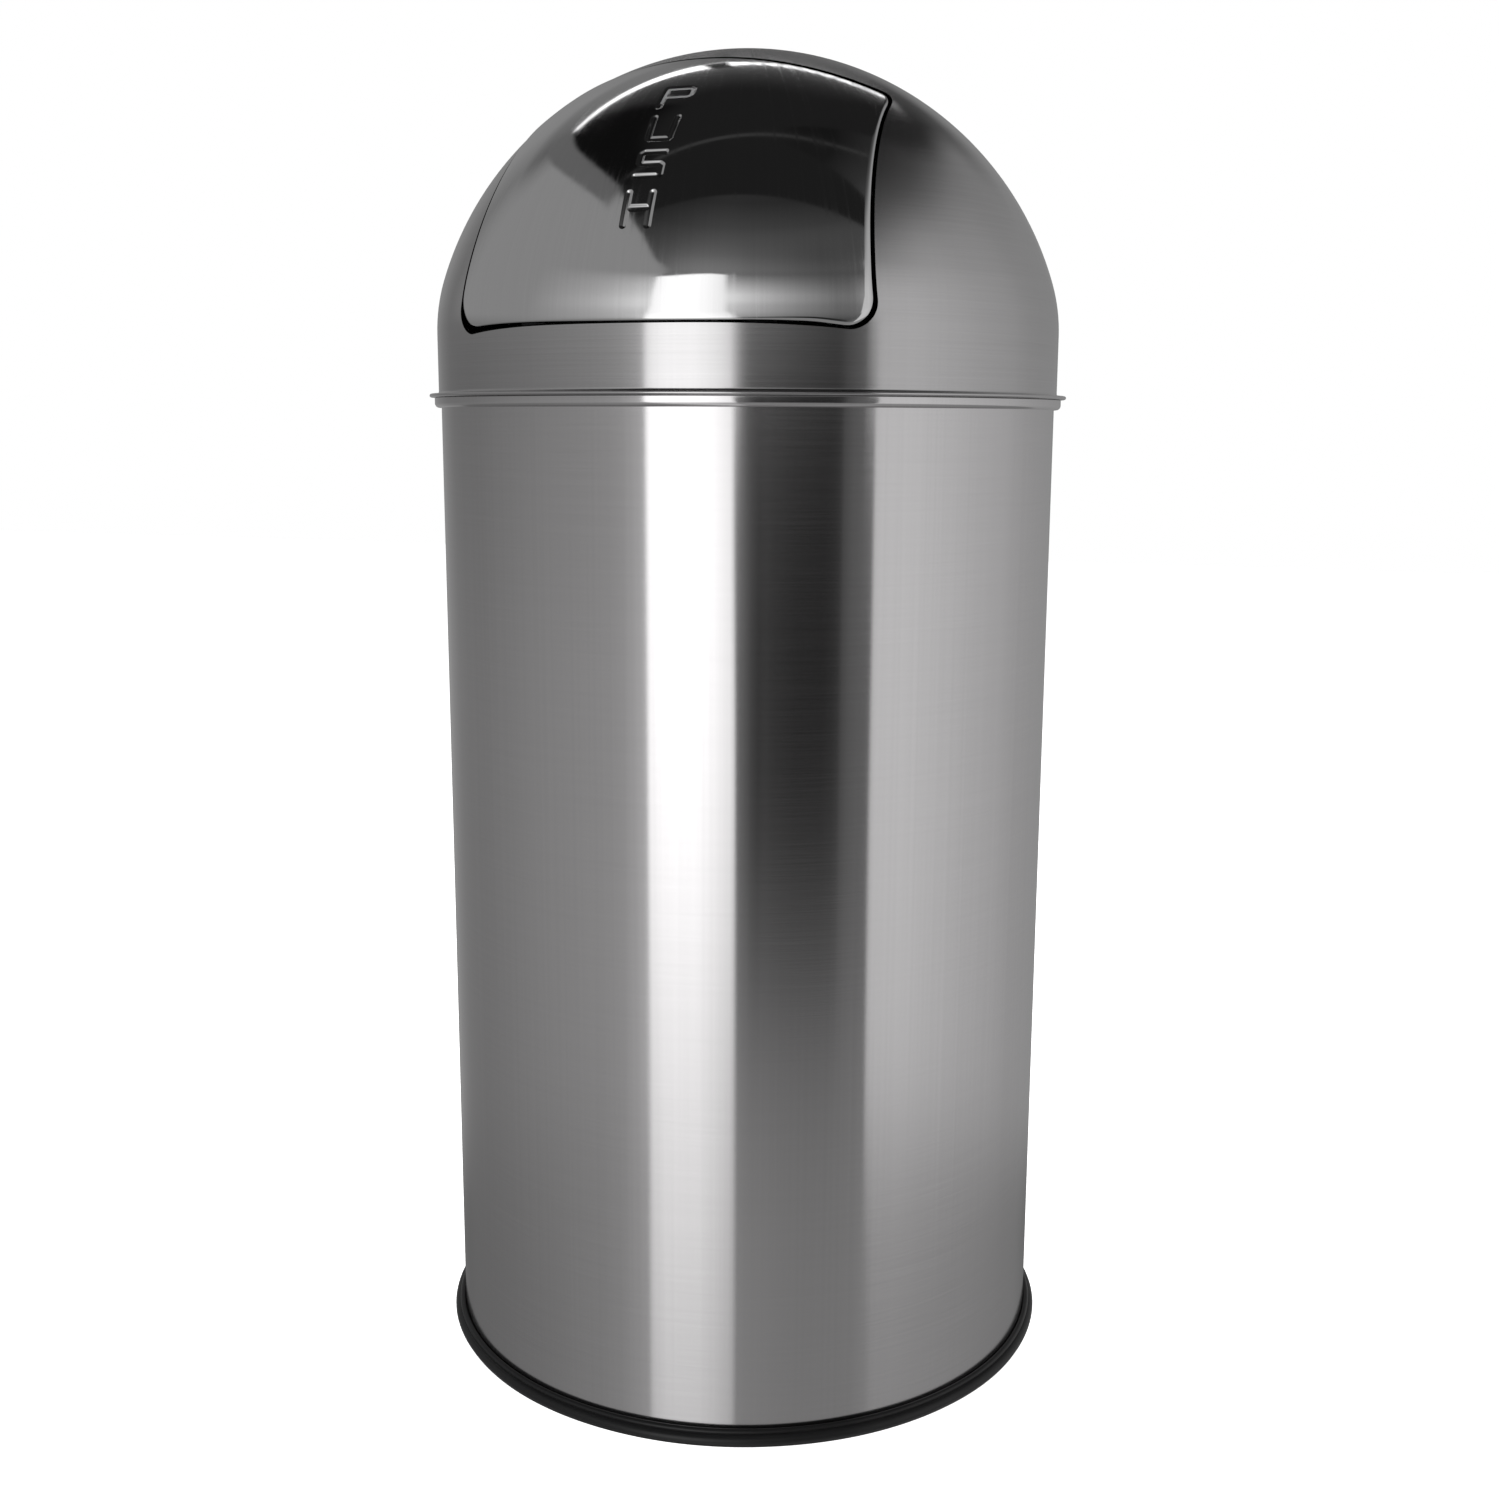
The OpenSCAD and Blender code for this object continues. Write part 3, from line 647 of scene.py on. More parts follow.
liner_base_rows = rounded([
    (0, 13.3, 0), (158.6, 13.3, 0.8), (159.48, 14.2, 0.5), (159.48, 17.2, 0.2), (159.0, 17.2, 0.2), (159.0, 14.6, 0.6),
    (158.0, 13.8, 0.8), (146, 13.8, 3), (143, 14.5, 3), (137, 14.5, 3), (134, 13.8, 3), (84, 13.8, 3), (82, 14.3, 3),
    (77, 14.3, 3), (75, 13.8, 3), (0, 13.8, 0)], closed=False)
liner_base = revolve("bucket_base", liner_base_rows, closed=False)
finish_piece(liner_base, "inner_zinc", "liner", "liner_base")

# bail: a half hoop whose ends bend in through the lugs
droop = -14 * DEG
hoop = []
bend = 5.0
R0 = 168.5
for i in range(8):
    hoop.append((156.6 + (R0 - bend - 156.6) * i / 7.0, 0.0))
for i in range(1, 7):
    a = -math.pi / 2 + (math.pi / 2) * i / 6
    hoop.append((R0 - bend + bend * math.cos(a), bend + bend * math.sin(a)))
start = math.asin(bend / R0)
arc_n = 90
right_side = [np.array(p) for p in hoop]
middle = []
for i in range(1, arc_n):
    a = start + (math.pi - 2 * start) * i / arc_n
    middle.append(np.array([R0 * math.cos(a), R0 * math.sin(a)]))
flatpath = right_side + middle + [np.array([-p[0], p[1]]) for p in right_side[::-1]]
path = [(p[0], p[1] * math.cos(droop), 505.0 + p[1] * math.sin(droop)) for p in flatpath]
bail = sweep("bail_wire", path, 2.5, 20, up=(0, math.sin(14 * DEG), math.cos(14 * DEG)))
finish_piece(bail, "rod_steel", "bail", "bail_handle")

# ------------------------------------------------------------------ dome with its opening
COLS = 240
col_theta = np.arange(COLS) * 2 * math.pi / COLS - math.pi
lip_rows = rounded([
    (175.75, 554.0, 0.15), (180.55, 554.0, 0), ("arc", 180.55, 555.0, 1.0, -80, 80, 10), (180.55, 556.0, 0),
    ("arc", 177.7, 557.4, 1.4, -90, -180, 8)], closed=False)
v_rows = np.concatenate([np.linspace(-27, -10, 6), np.linspace(-10, 195.5, 60)[1:], np.linspace(195.5, V2, 17)[1:-1]])
window_low, window_high = 5, 64
r0, z0, a0 = profile_at(v_rows)
outer = [tuple(map(float, row)) for row in lip_rows] + [
    (r, z, math.cos(a), math.sin(a)) for r, z, a in zip(r0, z0, a0)]
inner = [(r - SHEET * math.cos(a), z - SHEET * math.sin(a), -math.cos(a), -math.sin(a)) for r, z, a in zip(r0, z0, a0)]
inner = inner[::-1] + [(175.7, 558.0, -1.0, 0.0), (175.7, 554.2, -0.9, -0.3)]
first = len(lip_rows)
verts, normals = [], []
ring_out, ring_in = [], []
for r, z, nr, nz in outer:
    ring_out.append(len(verts))
    for t in col_theta:
        verts.append((r * math.sin(t), -r * math.cos(t), z)); normals.append((nr * math.sin(t), -nr * math.cos(t), nz))
pole_out = len(verts); verts.append((0, 0, CZ + CR)); normals.append((0, 0, 1))
pole_in = len(verts); verts.append((0, 0, CZ + CR - SHEET)); normals.append((0, 0, -1))
for r, z, nr, nz in inner:
    ring_in.append(len(verts))
    for t in col_theta:
        verts.append((r * math.sin(t), -r * math.cos(t), z)); normals.append((nr * math.sin(t), -nr * math.cos(t), nz))
nv = len(v_rows)
out_row = lambda j: ring_out[first + j]
in_row = lambda j: ring_in[nv - 1 - j]
half_win = 44
mid = COLS // 2
window_cols = [mid + i for i in range(-half_win, half_win + 1)]
win_set = set(window_cols[:-1])
faces = []


def quad_rows(a, b, skip=None):
    for i in range(COLS):
        if skip and i in skip:
            continue
        k = (i + 1) % COLS
        faces.append((a + i, a + k, b + k, b + i))


rows_up = ring_out
for j in range(len(rows_up) - 1):
    vj = j - first
    skip = win_set if window_low <= vj < window_high else None
    quad_rows(rows_up[j], rows_up[j + 1], skip)
for i in range(COLS):
    faces.append((rows_up[-1] + i, rows_up[-1] + (i + 1) % COLS, pole_out))
    faces.append((pole_in, ring_in[0] + (i + 1) % COLS, ring_in[0] + i))
for j in range(len(ring_in) - 1):
    vj = nv - 2 - j  # the quad lies between v rows vj and vj + 1
    skip = win_set if window_low <= vj < window_high else None
    quad_rows(ring_in[j], ring_in[j + 1], skip)
quad_rows(ring_in[-1], ring_out[0])

STEP = 1.6
op_half = half_outline(112.3, 97.2, 587.6, 728.3, 238.5, 12.0, 11.0, STEP)
op = full_outline(op_half, op_half)
op[:, 1] += arched(op)
Q = front_point(op[:, 0], op[:, 1])
th, vv = locate(Q)
_, QN = surface(th, vv)
QT = unit(np.roll(Q, -1, 0) - np.roll(Q, 1, 0))
QB = unit(np.cross(QT, QN))
HEM = 0.7
ring_th, ring_v = locate(Q + HEM * QB)
loop2d = np.stack([ring_th * WRAP, ring_v], 1)

pts, owner = [], []
for j in range(window_low, window_high + 1):
    for i in window_cols:
        pts.append((col_theta[i] * WRAP, v_rows[j])); owner.append((j, i))
pts = np.array(pts)
border = np.array([j in (window_low, window_high) or i in (window_cols[0], window_cols[-1]) for j, i in owner])
keep = (~inside(pts, loop2d) & (distance_to(pts, loop2d) > 1.1)) | border
kept_pts, kept_owner = pts[keep], [o for o, k in zip(owner, keep) if k]
all2d = np.concatenate([kept_pts, loop2d])
n0, nl = len(kept_pts), len(loop2d)
edges = [(n0 + i, n0 + (i + 1) % nl) for i in range(nl)]
res = delaunay_2d_cdt([Vector(p) for p in all2d], edges, [], 0, 1e-5)
tri_v, tri_f, tri_o = res[0], res[2], res[3]
tri_xy = np.array([tuple(p) for p in tri_v])
centroid = np.array([tri_xy[list(f)].mean(0) for f in tri_f])
outside = ~inside(centroid, loop2d)


def add_ring(points, normal):
    base = len(verts)
    verts.extend(map(tuple, points)); normals.extend(map(tuple, normal))
    return list(range(base, base + len(points)))


loop_pos, loop_nor = surface(ring_th, ring_v)
hem_centre = Q + HEM * QB - HEM * QN
rings = []
outer_loop = add_ring(loop_pos, loop_nor)
rings.append(outer_loop)
for al in (18, 36, 54, 72, 90):
    a = al * DEG
    d = math.cos(a) * QN - math.sin(a) * QB
    rings.append(add_ring(hem_centre + HEM * d, d))
FL = 1.25
for back, deep, nn, nb in ((0.0, FL - 0.2, 0, -1), (0.09, FL - 0.06, -1, -1), (0.3, FL, -1, 0), (0.42, FL - 0.05, -1, 1), (0.5, FL - 0.2, 0, 1),
                           (0.5, 0.8, 0, 1)):
    rings.append(add_ring(Q + back * QB - deep * QN, unit(nn * QN + nb * QB)))
inner_pos, inner_nor = surface(ring_th, ring_v, -SHEET)
inner_loop = add_ring(inner_pos, -inner_nor)
rings.append(inner_loop)
for a, b in zip(rings[:-1], rings[1:]):
    strip(faces, b, a)


def vertex_of(k, out):
    src = tri_o[k][0]
    if src < n0:
        j, i = kept_owner[src]
        return (out_row(j) if out else in_row(j)) + i
    return (outer_loop if out else inner_loop)[src - n0]


for f, ok in zip(tri_f, outside):
    if not ok:
        continue
    faces.append(tuple(vertex_of(k, True) for k in f))
    faces.append(tuple(vertex_of(k, False) for k in reversed(f)))
dome = make_mesh("dome_cover", verts, faces, normals)
finish_piece(dome, "dome_steel", "lid", "dome_shell")

collar_rows = rounded([
    (173.0, 530.0, 0.2), (173.6, 530.0, 0.2), (173.6, 555.6, 1.2), (175.7, 557.6, 1.2), (175.7, 568.0, 0.2),
    (175.1, 568.0, 0.2), (175.1, 558.0, 0.8), (173.0, 556.1, 0.8)])
collar = revolve("lid_collar", collar_rows)
finish_piece(collar, "hidden_steel", "lid", "locating_collar")

# ------------------------------------------------------------------ flap
TILT = -0.22
BOW = 2.0
fl_right = half_outline(111.95, 96.75, 589.75, 727.5, 237.7, 12.0, 9.0, STEP)
fl_left = half_outline(111.5, 96.8, 589.75, 727.5, 237.7, 15.0, 9.7, STEP)
fl = turned(full_outline(fl_right, fl_left), TILT, 0.0, 655.0)
# the bottom edge bows down towards its middle
fl[:, 1] -= np.where(fl[:, 1] < 602, BOW * np.clip(1 - (fl[:, 0] / 101.0) ** 2, 0, 1), 0.0)
fl[:, 1] -= 0.9 * ease_in(fl[:, 0], 84, 102) * (1 - ease_in(fl[:, 1], 594, 606))
fl[:, 1] += arched(fl)
Q = front_point(fl[:, 0], fl[:, 1], PROUD)
th, vv = locate(Q)
_, QN = surface(th, vv)
QT = unit(np.roll(Q, -1, 0) - np.roll(Q, 1, 0))
QB = unit(np.cross(QT, QN))


# how far the edge's roll reaches in over the face: widest at the right and its lower corner
sideways = ease_in(QB[:, 0], 0.25, 0.8)
ROLL = 1.4 + sideways * (1.2 + 1.3 * (1 - ease_in(fl[:, 1], 640, 715)) + 0.9 * (1 - ease_in(fl[:, 1], 598, 625)))
ROLL = ROLL + ease_in(-QB[:, 0], 0.3, 0.8) * 0.7
ROLL = ROLL + ease_in(fl[:, 0], 55, 100) * (1 - ease_in(fl[:, 1], 594, 612)) * 1.3
for _ in range(8):
    ROLL = (ROLL + np.roll(ROLL, 1) + np.roll(ROLL, -1)) / 3
ROLL = ROLL[:, None]
SINK = 1.3
loop_th, loop_v = locate(Q - ROLL * QB)
loop2d = np.stack([loop_th * WRAP, loop_v], 1)

# pressed-in signs: centre lines of upright strokes in front view, x across and z up
lines2d = []


def stroke(*points):
    p = np.array(points, float)
    q = []
    for a, b in zip(p[:-1], p[1:]):
        q.extend(a + (b - a) * t for t in (0.0, 0.25, 0.5, 0.75))
    q = np.array(q + [p[-1]])
    lines2d.append(np.stack([q[:, 0], locate(front_point(q[:, 0], q[:, 1], PROUD))[1]], 1))


stroke((-5.7, 696.2), (-5.2, 707.0), (6.6, 707.0), (8.1, 706.3), (8.2, 703.0), (6.8, 702.2), (-5.2, 702.2))
stroke((-5.3, 690.2), (-4.7, 679.0), (-3.9, 678.2), (5.9, 678.2), (6.7, 679.0), (7.2, 690.0))
stroke((6.6, 671.2), (-3.8, 671.2), (-5.4, 670.3), (-5.4, 666.2), (-4.2, 665.1), (5.0, 665.1), (6.5, 664.2),
       (6.6, 659.8), (5.4, 658.8), (-6.3, 658.8))
stroke((-7.2, 634.8), (-7.2, 650.5))
stroke((5.4, 634.6), (5.4, 650.3))
stroke((-7.2, 643.0), (5.4, 643.0))
DEEP = 0.65


def sign_distance(x, z):
    best = np.full(len(x), 1e9)
    near = (x > -12) & (x < 13) & (z > 628) & (z < 713)
    if near.any():
        q = np.stack([x[near], locate(front_point(x[near], z[near], PROUD))[1]], 1)
        d = np.full(len(q), 1e9)
        for line in lines2d:
            d = np.minimum(d, distance_to(q, line, closed=False))
        best[near] = d
    return best


def relief(x, z):
    t = np.clip((2.2 - sign_distance(x, z)) / 1.7, 0, 1)
    return -DEEP * t * t * (3 - 2 * t)


dense = np.concatenate([np.stack(np.meshgrid(np.arange(-11.0, 12.01, 0.38), zs, indexing="ij"), -1).reshape(-1, 2)
                        for zs in (np.arange(630.0, 692.0, 0.32), np.arange(692.0, 711.5, 0.2))])
dense = dense[sign_distance(dense[:, 0], dense[:, 1]) < 2.6]
dp = front_point(dense[:, 0], dense[:, 1], PROUD)
dth, dv = locate(dp)
dense2d = np.stack([dth * WRAP, dv], 1)
gx, gy = np.meshgrid(np.arange(-62 * DEG * WRAP, 62 * DEG * WRAP, 2.6), np.arange(-6, 190, 2.6))
grid = np.stack([gx.ravel(), gy.ravel()], 1)
grid[:, 0] += np.where(np.round((grid[:, 1] + 6) / 2.6) % 2 == 0, 0.0, 1.3)
gp, _ = surface(grid[:, 0] / WRAP, grid[:, 1], PROUD)
grid = grid[inside(grid, loop2d) & (distance_to(grid, loop2d) > 1.3) & (sign_distance(gp[:, 0], gp[:, 2]) > 2.9)]
all2d = np.concatenate([grid, dense2d, loop2d])
n0, nl = len(grid) + len(dense2d), len(loop2d)
edges = [(n0 + i, n0 + (i + 1) % nl) for i in range(nl)]
res = delaunay_2d_cdt([Vector(p) for p in all2d], edges, [], 0, 1e-6)
tri_v, tri_f, tri_o = res[0], res[2], res[3]
tri_xy = np.array([tuple(p) for p in tri_v])
centroid = np.array([tri_xy[list(f)].mean(0) for f in tri_f])
within = inside(centroid, loop2d)

theta_all, v_all = all2d[:, 0] / WRAP, all2d[:, 1]
P, N = surface(theta_all, v_all, PROUD)
h = relief(P[:, 0], P[:, 2])
e = 0.03


def lifted(dx, dz):
    q = front_point(P[:, 0] + dx, P[:, 2] + dz, PROUD)
    return q + relief(P[:, 0] + dx, P[:, 2] + dz)[:, None] * N


tx = lifted(e, 0) - lifted(-e, 0)
tz = lifted(0, e) - lifted(0, -e)
NL = unit(np.cross(tx, tz))
NL = np.where((NL * N).sum(1, keepdims=True) < 0, -NL, NL)
signs = sign_distance(P[:, 0], P[:, 2]) < 2.3
NL = np.where(signs[:, None], NL, N)
verts = [tuple(p) for p in P + h[:, None] * N]
normals = [tuple(p) for p in NL]
total = len(verts)
verts += [tuple(p) for p in P + (h - SHEET)[:, None] * N]
normals += [tuple(-p) for p in NL]
faces = []
for f, ok in zip(tri_f, within):
    if ok:
        ids = [tri_o[k][0] for k in f]
        faces.append(tuple(ids))
        faces.append(tuple(total + k for k in reversed(ids)))
outer_loop = list(range(n0, n0 + nl))
inner_loop = [total + k for k in outer_loop]
centre = Q - ROLL * QB - SINK * QN
rings = [outer_loop]
for al in (10, 20, 30, 40, 50, 60, 70, 80, 90):
    d = SINK * math.cos(al * DEG) * QN + ROLL * math.sin(al * DEG) * QB
    n = unit(ROLL * math.cos(al * DEG) * QN + SINK * math.sin(al * DEG) * QB)
    rings.append(add_ring(centre + d, n))
FD = 5.2
for back, deep, nn, nb in ((0.0, FD - 0.22, 0, 1), (0.09, FD - 0.06, -1, 1), (0.3, FD, -1, 0), (0.51, FD - 0.06, -1, -1),
                           (0.6, FD - 0.22, 0, -1)):
    rings.append(add_ring(Q - back * QB - deep * QN, unit(nn * QN + nb * QB)))
for al in (90, 67, 45, 22):
    d = (SINK - SHEET) * math.cos(al * DEG) * QN + (ROLL - SHEET) * math.sin(al * DEG) * QB
    n = unit(ROLL * math.cos(al * DEG) * QN + SINK * math.sin(al * DEG) * QB)
    rings.append(add_ring(centre + d, -n))
rings.append(inner_loop)
for a, b in zip(rings[:-1], rings[1:]):
    strip(faces, b, a)
flap = make_mesh("push_flap", verts, faces, normals)
finish_piece(flap, "flap_steel", "flap", "flap_panel")


# ------------------------------------------------------------------ hinge hardware
def softened(node, name, slot, body, width):
    """The CAD part with its edges broken, as a pressed or turned part has."""
    src = nodes[node]
    mesh = src.data.copy()
    mesh.name = name
    obj = bpy.data.objects.new(name, mesh)
    bpy.context.scene.collection.objects.link(obj)
    weld = obj.modifiers.new("weld", "WELD")
    weld.merge_threshold = 0.000002
    bevel = obj.modifiers.new("bevel", "BEVEL")
    bevel.width = width * MM
    bevel.segments = 2
    bevel.limit_method = "ANGLE"
    bevel.angle_limit = 35 * DEG
    bevel.use_clamp_overlap = True
    bevel.harden_normals = False
    bpy.context.view_layer.update()
    deps = bpy.context.evaluated_depsgraph_get()
    done = bpy.data.meshes.new_from_object(obj.evaluated_get(deps))
    obj.modifiers.clear()
    obj.data = done
    done.polygons.foreach_set("use_smooth", [True] * len(done.polygons))
    try:
        done.set_sharp_from_angle(angle=32 * DEG)
    except AttributeError:
        pass
    return finish_piece(obj, slot, body, node)


softened("hinge_bracket_left", "bracket_left", "hidden_steel", "lid", 0.25)
softened("hinge_bracket_right", "bracket_right", "hidden_steel", "lid", 0.25)
softened("flap_strap", "hinge_strap", "hidden_steel", "flap", 0.22)
# The stop strips take the black cap finish so the gap under the flap reads dark: a dark part standing in for painted
# shade.
softened("flap_stop_tabs", "stop_strips_shade_dark", "cap_steel", "flap", 0.2)
softened("stop_buffers", "stop_pads", "buffer_rubber", "lid", 0.4)
softened("flap_bush_left", "bush_left", "bush_plastic", "flap", 0.15)
softened("flap_bush_right", "bush_right", "bush_plastic", "flap", 0.15)
softened("hinge_rod", "pivot_rod", "rod_steel", "lid", 0.4)
softened("rod_caps", "pivot_caps", "cap_steel", "lid", 0.2)
softened("liner_ears", "bucket_lugs", "hidden_steel", "liner", 0.3)
softened("ear_rivets", "lug_rivets", "rod_steel", "liner", 0.2)

# return springs: a coil round the hinge with a straight leg at each end
XA, XB, SR, LA, LB, TURNS = 67.1, 61.6, 5.2, 120.0, 104.0, 4
for side, name in ((1, "right"), (-1, "left")):
    pts = []
    def leg(x, angle, s):
        a = angle * DEG
        return (side * x, -48 + SR * math.cos(a) + s * math.sin(a), 708 + SR * math.sin(a) - s * math.cos(a))
    for s in np.linspace(24, 0.8, 10):
        pts.append(leg(XA, LA, s))
    sweep_deg = 360 * TURNS + LB - LA
    for i in range(24 * TURNS + 1):
        t = i / (24 * TURNS)
        a = (LA + t * sweep_deg) * DEG
        pts.append((side * (XA + (XB - XA) * t), -48 + SR * math.cos(a), 708 + SR * math.sin(a)))
    for s in np.linspace(0.8, 26, 10):
        pts.append(leg(XB, LB, -s))
    coil = sweep("spring_" + name, pts, 0.55, 10, up=(1, 0, 0))
    coil.data.materials.append(MATS["spring_steel"])
    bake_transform(coil)
    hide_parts("return_spring_" + name)


# ------------------------------------------------------------------ studio
def build_world():
    w = bpy.data.worlds.new("studio")
    bpy.context.scene.world = w
    w.use_nodes = True
    g = Graph(w.node_tree)
    d = g.node("SeparateXYZ", {0: g.node("TexCoord").outputs["Generated"]})
    dx, dy, dz = d.outputs[0], d.outputs[1], d.outputs[2]
    az = g.math("MULTIPLY", g.math("ARCTAN2", dx, g.math("MULTIPLY", dy, -1.0)), 180 / math.pi)
    el = g.math("MULTIPLY", g.math("ARCSINE", dz), 180 / math.pi)
    lift = g.math("MAXIMUM", dz, 0.05)
    cx = g.math("DIVIDE", dx, lift)
    cy = g.math("DIVIDE", g.math("MULTIPLY", dy, -1.0), lift)

    def band(x, lo, hi, soft_lo, soft_hi=None):
        soft_hi = soft_lo if soft_hi is None else soft_hi
        up = g.span(x, lo - soft_lo, lo + soft_lo)
        down = g.span(x, hi - soft_hi, hi + soft_hi, 1.0, 0.0)
        return g.math("MULTIPLY", up, down)

    def times(*v):
        t = v[0]
        for q in v[1:]:
            t = g.math("MULTIPLY", t, q)
        return t

    # walls of the room round the bin, seen low down
    wall = g.curve(az, [(-180, .30), (-172, .26), (-164, .21), (-157, .22), (-150, .30), (-140, .335), (-130, .30), (-120, .27), (-110, .245), (-100, .243),
                        (-90, .262), (-80, .285), (-70, .305), (-60, .328), (-50, .345), (-40, .362), (-32, .385),
                        (-27, .415), (-22.5, .50), (-18.6, .60), (30, .60), (40, .76), (80, .765), (90, .71), (100, .66), (110, .60),
                        (120, .56), (130, .515), (140, .45), (150, .41), (160, .375), (170, .335), (180, .30)])
    left_side = g.span(az, 20, 22, 1, 0)
    left = times(wall, g.curve(el, [(-16, .97), (-8, 1), (0, .87), (4, .85), (10, 1)]))
    left = g.mix(g.span(el, 2, 8), left, g.curve(az, [(-180, .30), (-172, .25), (-164, .17), (-157, .18), (-150, .26), (-142, .30), (-135, .31), (-120, .25), (-112, .30), (-105, .322),
                                                      (-60, .327), (-20, .33)]))
    # light spread sideways from the soft box
    spread = g.curve(az, [(-66, 0), (-54, .09), (-45, .165), (-40, .21), (-35, .27), (-30, .355), (-25, .45), (-20, .6)])
    left = g.math("ADD", left, times(spread, g.curve(el, [(3, 0), (6, .6), (9, .76), (12, 1), (15, 1), (18, .83), (21, .68),
                                                          (24, .55), (27, .33), (30, .03), (31, 0)])))
    shade = g.curve(az, [(-165, 0), (-150, .15), (-140, .27), (-126, .33), (-119, .42), (-111, .12), (-105, 0)])
    left = times(left, g.math("SUBTRACT", 1.0, times(shade, g.curve(el, [(31, .2), (35, 1), (44, 1)]))))
    right = times(wall, g.curve(el, [(-18, .97), (-6, 1), (0, .98), (3, .93), (20, .92), (30, .82), (35, .76), (40, .62), (45, .36),
                                     (50, .175), (55, .105), (60, .06), (70, .02)]))
    right = times(right, g.mix(g.span(az, 72, 100, 1, 0), 1.0, g.curve(el, [(21, 1), (26, .92), (30, .86), (35, .75), (40, .66), (45, .72)])))
    level = g.mix(left_side, right, left)
    corner = times(g.curve(az, [(-180, 1), (-174, .75), (-168, .4), (-160, .2), (-150, 0), (160, 0), (166, .35), (173, .9), (180, 1)]),
                   g.curve(el, [(20, 0), (25, .3), (30, 1), (50, 1)]))
    level = times(level, g.math("SUBTRACT", 1.0, times(corner, 0.75)))
    # dark ceiling above them
    edge = g.curve(az, [(-180, 45), (-126, 45), (-124, 41.5), (-110, 46.5), (-100, 50), (-90, 52.7), (-80, 54.5),
                        (-70, 55.5), (-60, 55.7), (-50, 53.5), (-40, 49.5), (-34, 47.7), (-28, 45), (-23.5, 42),
                        (-19.5, 39), (-16, 36), (20, 36), (40, 80), (134, 80), (140, 50), (150, 43), (160, 38.5), (170, 32),
                        (178, 31), (180, 45)])
    below = g.math("SUBTRACT", edge, el)
    level = g.mix(times(band(az, -123, -56, 1, 4), g.span(below, 6.5, 5)), level, 0.16)
    ceiling = g.mix(times(band(az, -126, -56, 3, 10), g.span(el, 62, 70, 1, 0)), 0.016, 0.006)
    glow = times(g.curve(el, [(46, .17), (49, .125), (52, .07), (56, .036), (62, .01), (66, 0)]),
                 g.curve(az, [(-180, .55), (-172, .8), (-160, 1), (-148, 1), (-138, .6), (-126, .25), (-122, 0), (166, 0), (174, .3), (180, .5)]))
    ceiling = g.math("ADD", ceiling, glow)
    soft = g.mix(left_side, 3.0, 0.5)
    over = g.math("DIVIDE", g.math("ADD", below, soft), g.math("MULTIPLY", soft, 2.0), clamp=True)
    level = g.mix(over, ceiling, level)
    # front: a dim opening between the soft box and the bright wall
    depth = g.curve(az, [(14.2, .19), (16.4, .16), (18.4, .125), (20.6, .068), (22.8, .036), (26, .046), (29, .034), (37, .022),
                         (46, .021), (50, .032), (52.4, .045), (53.3, .09), (56, .12), (60, .145), (63, .15), (64.8, .16)])
    depth = times(depth, g.span(el, 4, 8, 1, 0))
    across = g.curve(az, [(-28, .5), (-21, .52), (-15, .68), (-10, .84), (-5, .97), (0, 1.03), (5, 1.04), (10, .98), (15, .9),
                          (20, .78), (30, .67), (40, .54), (50, .43), (62, .46)])
    far = g.curve(az, [(-28, .5), (-15, .72), (0, 1), (8, 1.05), (22, .98), (38, .9), (62, .8)])
    across = g.mix(g.span(el, 38, 50), across, far)
    haze = g.curve(el, [(-8, 0), (-4, .03), (0, .06), (3, .11), (8, .19), (25, .2), (33, .235), (36, .215), (39, .187), (42, .145),
                        (45, .115), (51, .07), (60, .035)])
    halo = times(g.curve(az, [(11, .85), (15, .74), (20, .585), (25, .48), (30, .385), (35, .3), (40, .24), (45, .19), (50, .13),
                              (57, .13), (62, .3)]),
                 g.curve(el, [(3, 0), (6, .5), (9, .68), (12, .78), (15, 1), (18, 1), (21, .76), (24, .52), (27, .26), (30, .02), (31, 0)]))
    front = g.math("MAXIMUM", depth, g.math("ADD", times(across, haze), halo))
    line = g.math("ADD", cy, times(cx, 0.3))
    front = g.mix(times(g.span(line, .535, .51), g.span(el, 20, 30)), front, ceiling)
    start = g.curve(el, [(4, -17.5), (12, -15.3), (28, -15.3), (31, -12), (33, -13), (36, -16), (39, -19.5), (42, -23.5), (45, -28),
                         (49, -38)])
    finish = g.curve(el, [(0.6, 65), (2.4, 61.3), (5, 61.5), (8, 63), (36, 66), (44, 73), (52, 86)])
    ease = g.curve(el, [(28, .5), (32, 2.2), (36, 1.6)])
    front_side = g.math("MULTIPLY", g.math("DIVIDE", g.math("ADD", g.math("SUBTRACT", az, start), ease),
                                           g.math("MULTIPLY", ease, 2.0), clamp=True),
                        g.span(g.math("SUBTRACT", az, finish), -0.4, 0.4, 1, 0))
    level = g.mix(front_side, level, front)
    # tall soft box
    box = times(g.curve(el, [(-32, .765), (-28, .93), (-24, 1.12), (-20, 1.3), (-16, 1.55), (-12, 1.75), (-4, 1.9), (3, 1.9), (8, 1.55)]),
                g.curve(az, [(-17.5, .84), (-14, .93), (-10, 1), (0, 1), (5, .92), (9.5, .82), (14.2, .7)]))
    stop = g.curve(el, [(-9, 14.8), (-4.4, 14.2), (-1, 13.8), (0.5, 15), (2.4, 16.2), (5, 15), (9, 11.3), (24, 10.9)])
    give = g.curve(el, [(-1, .4), (1, 2.4), (3, 2.8), (6, .6)])
    top = g.curve(az, [(-16, 28.2), (-10, 28.9), (-5, 29.8), (0, 30.4), (5, 30.7), (10, 30.2), (14, 28.5)])
    box_side = times(g.span(g.math("SUBTRACT", az, start), -0.4, 0.4),
                     g.math("DIVIDE", g.math("ADD", g.math("SUBTRACT", stop, az), give), g.math("MULTIPLY", give, 2.0), clamp=True),
                     g.span(g.math("SUBTRACT", el, top), -0.6, 0.6, 1, 0))
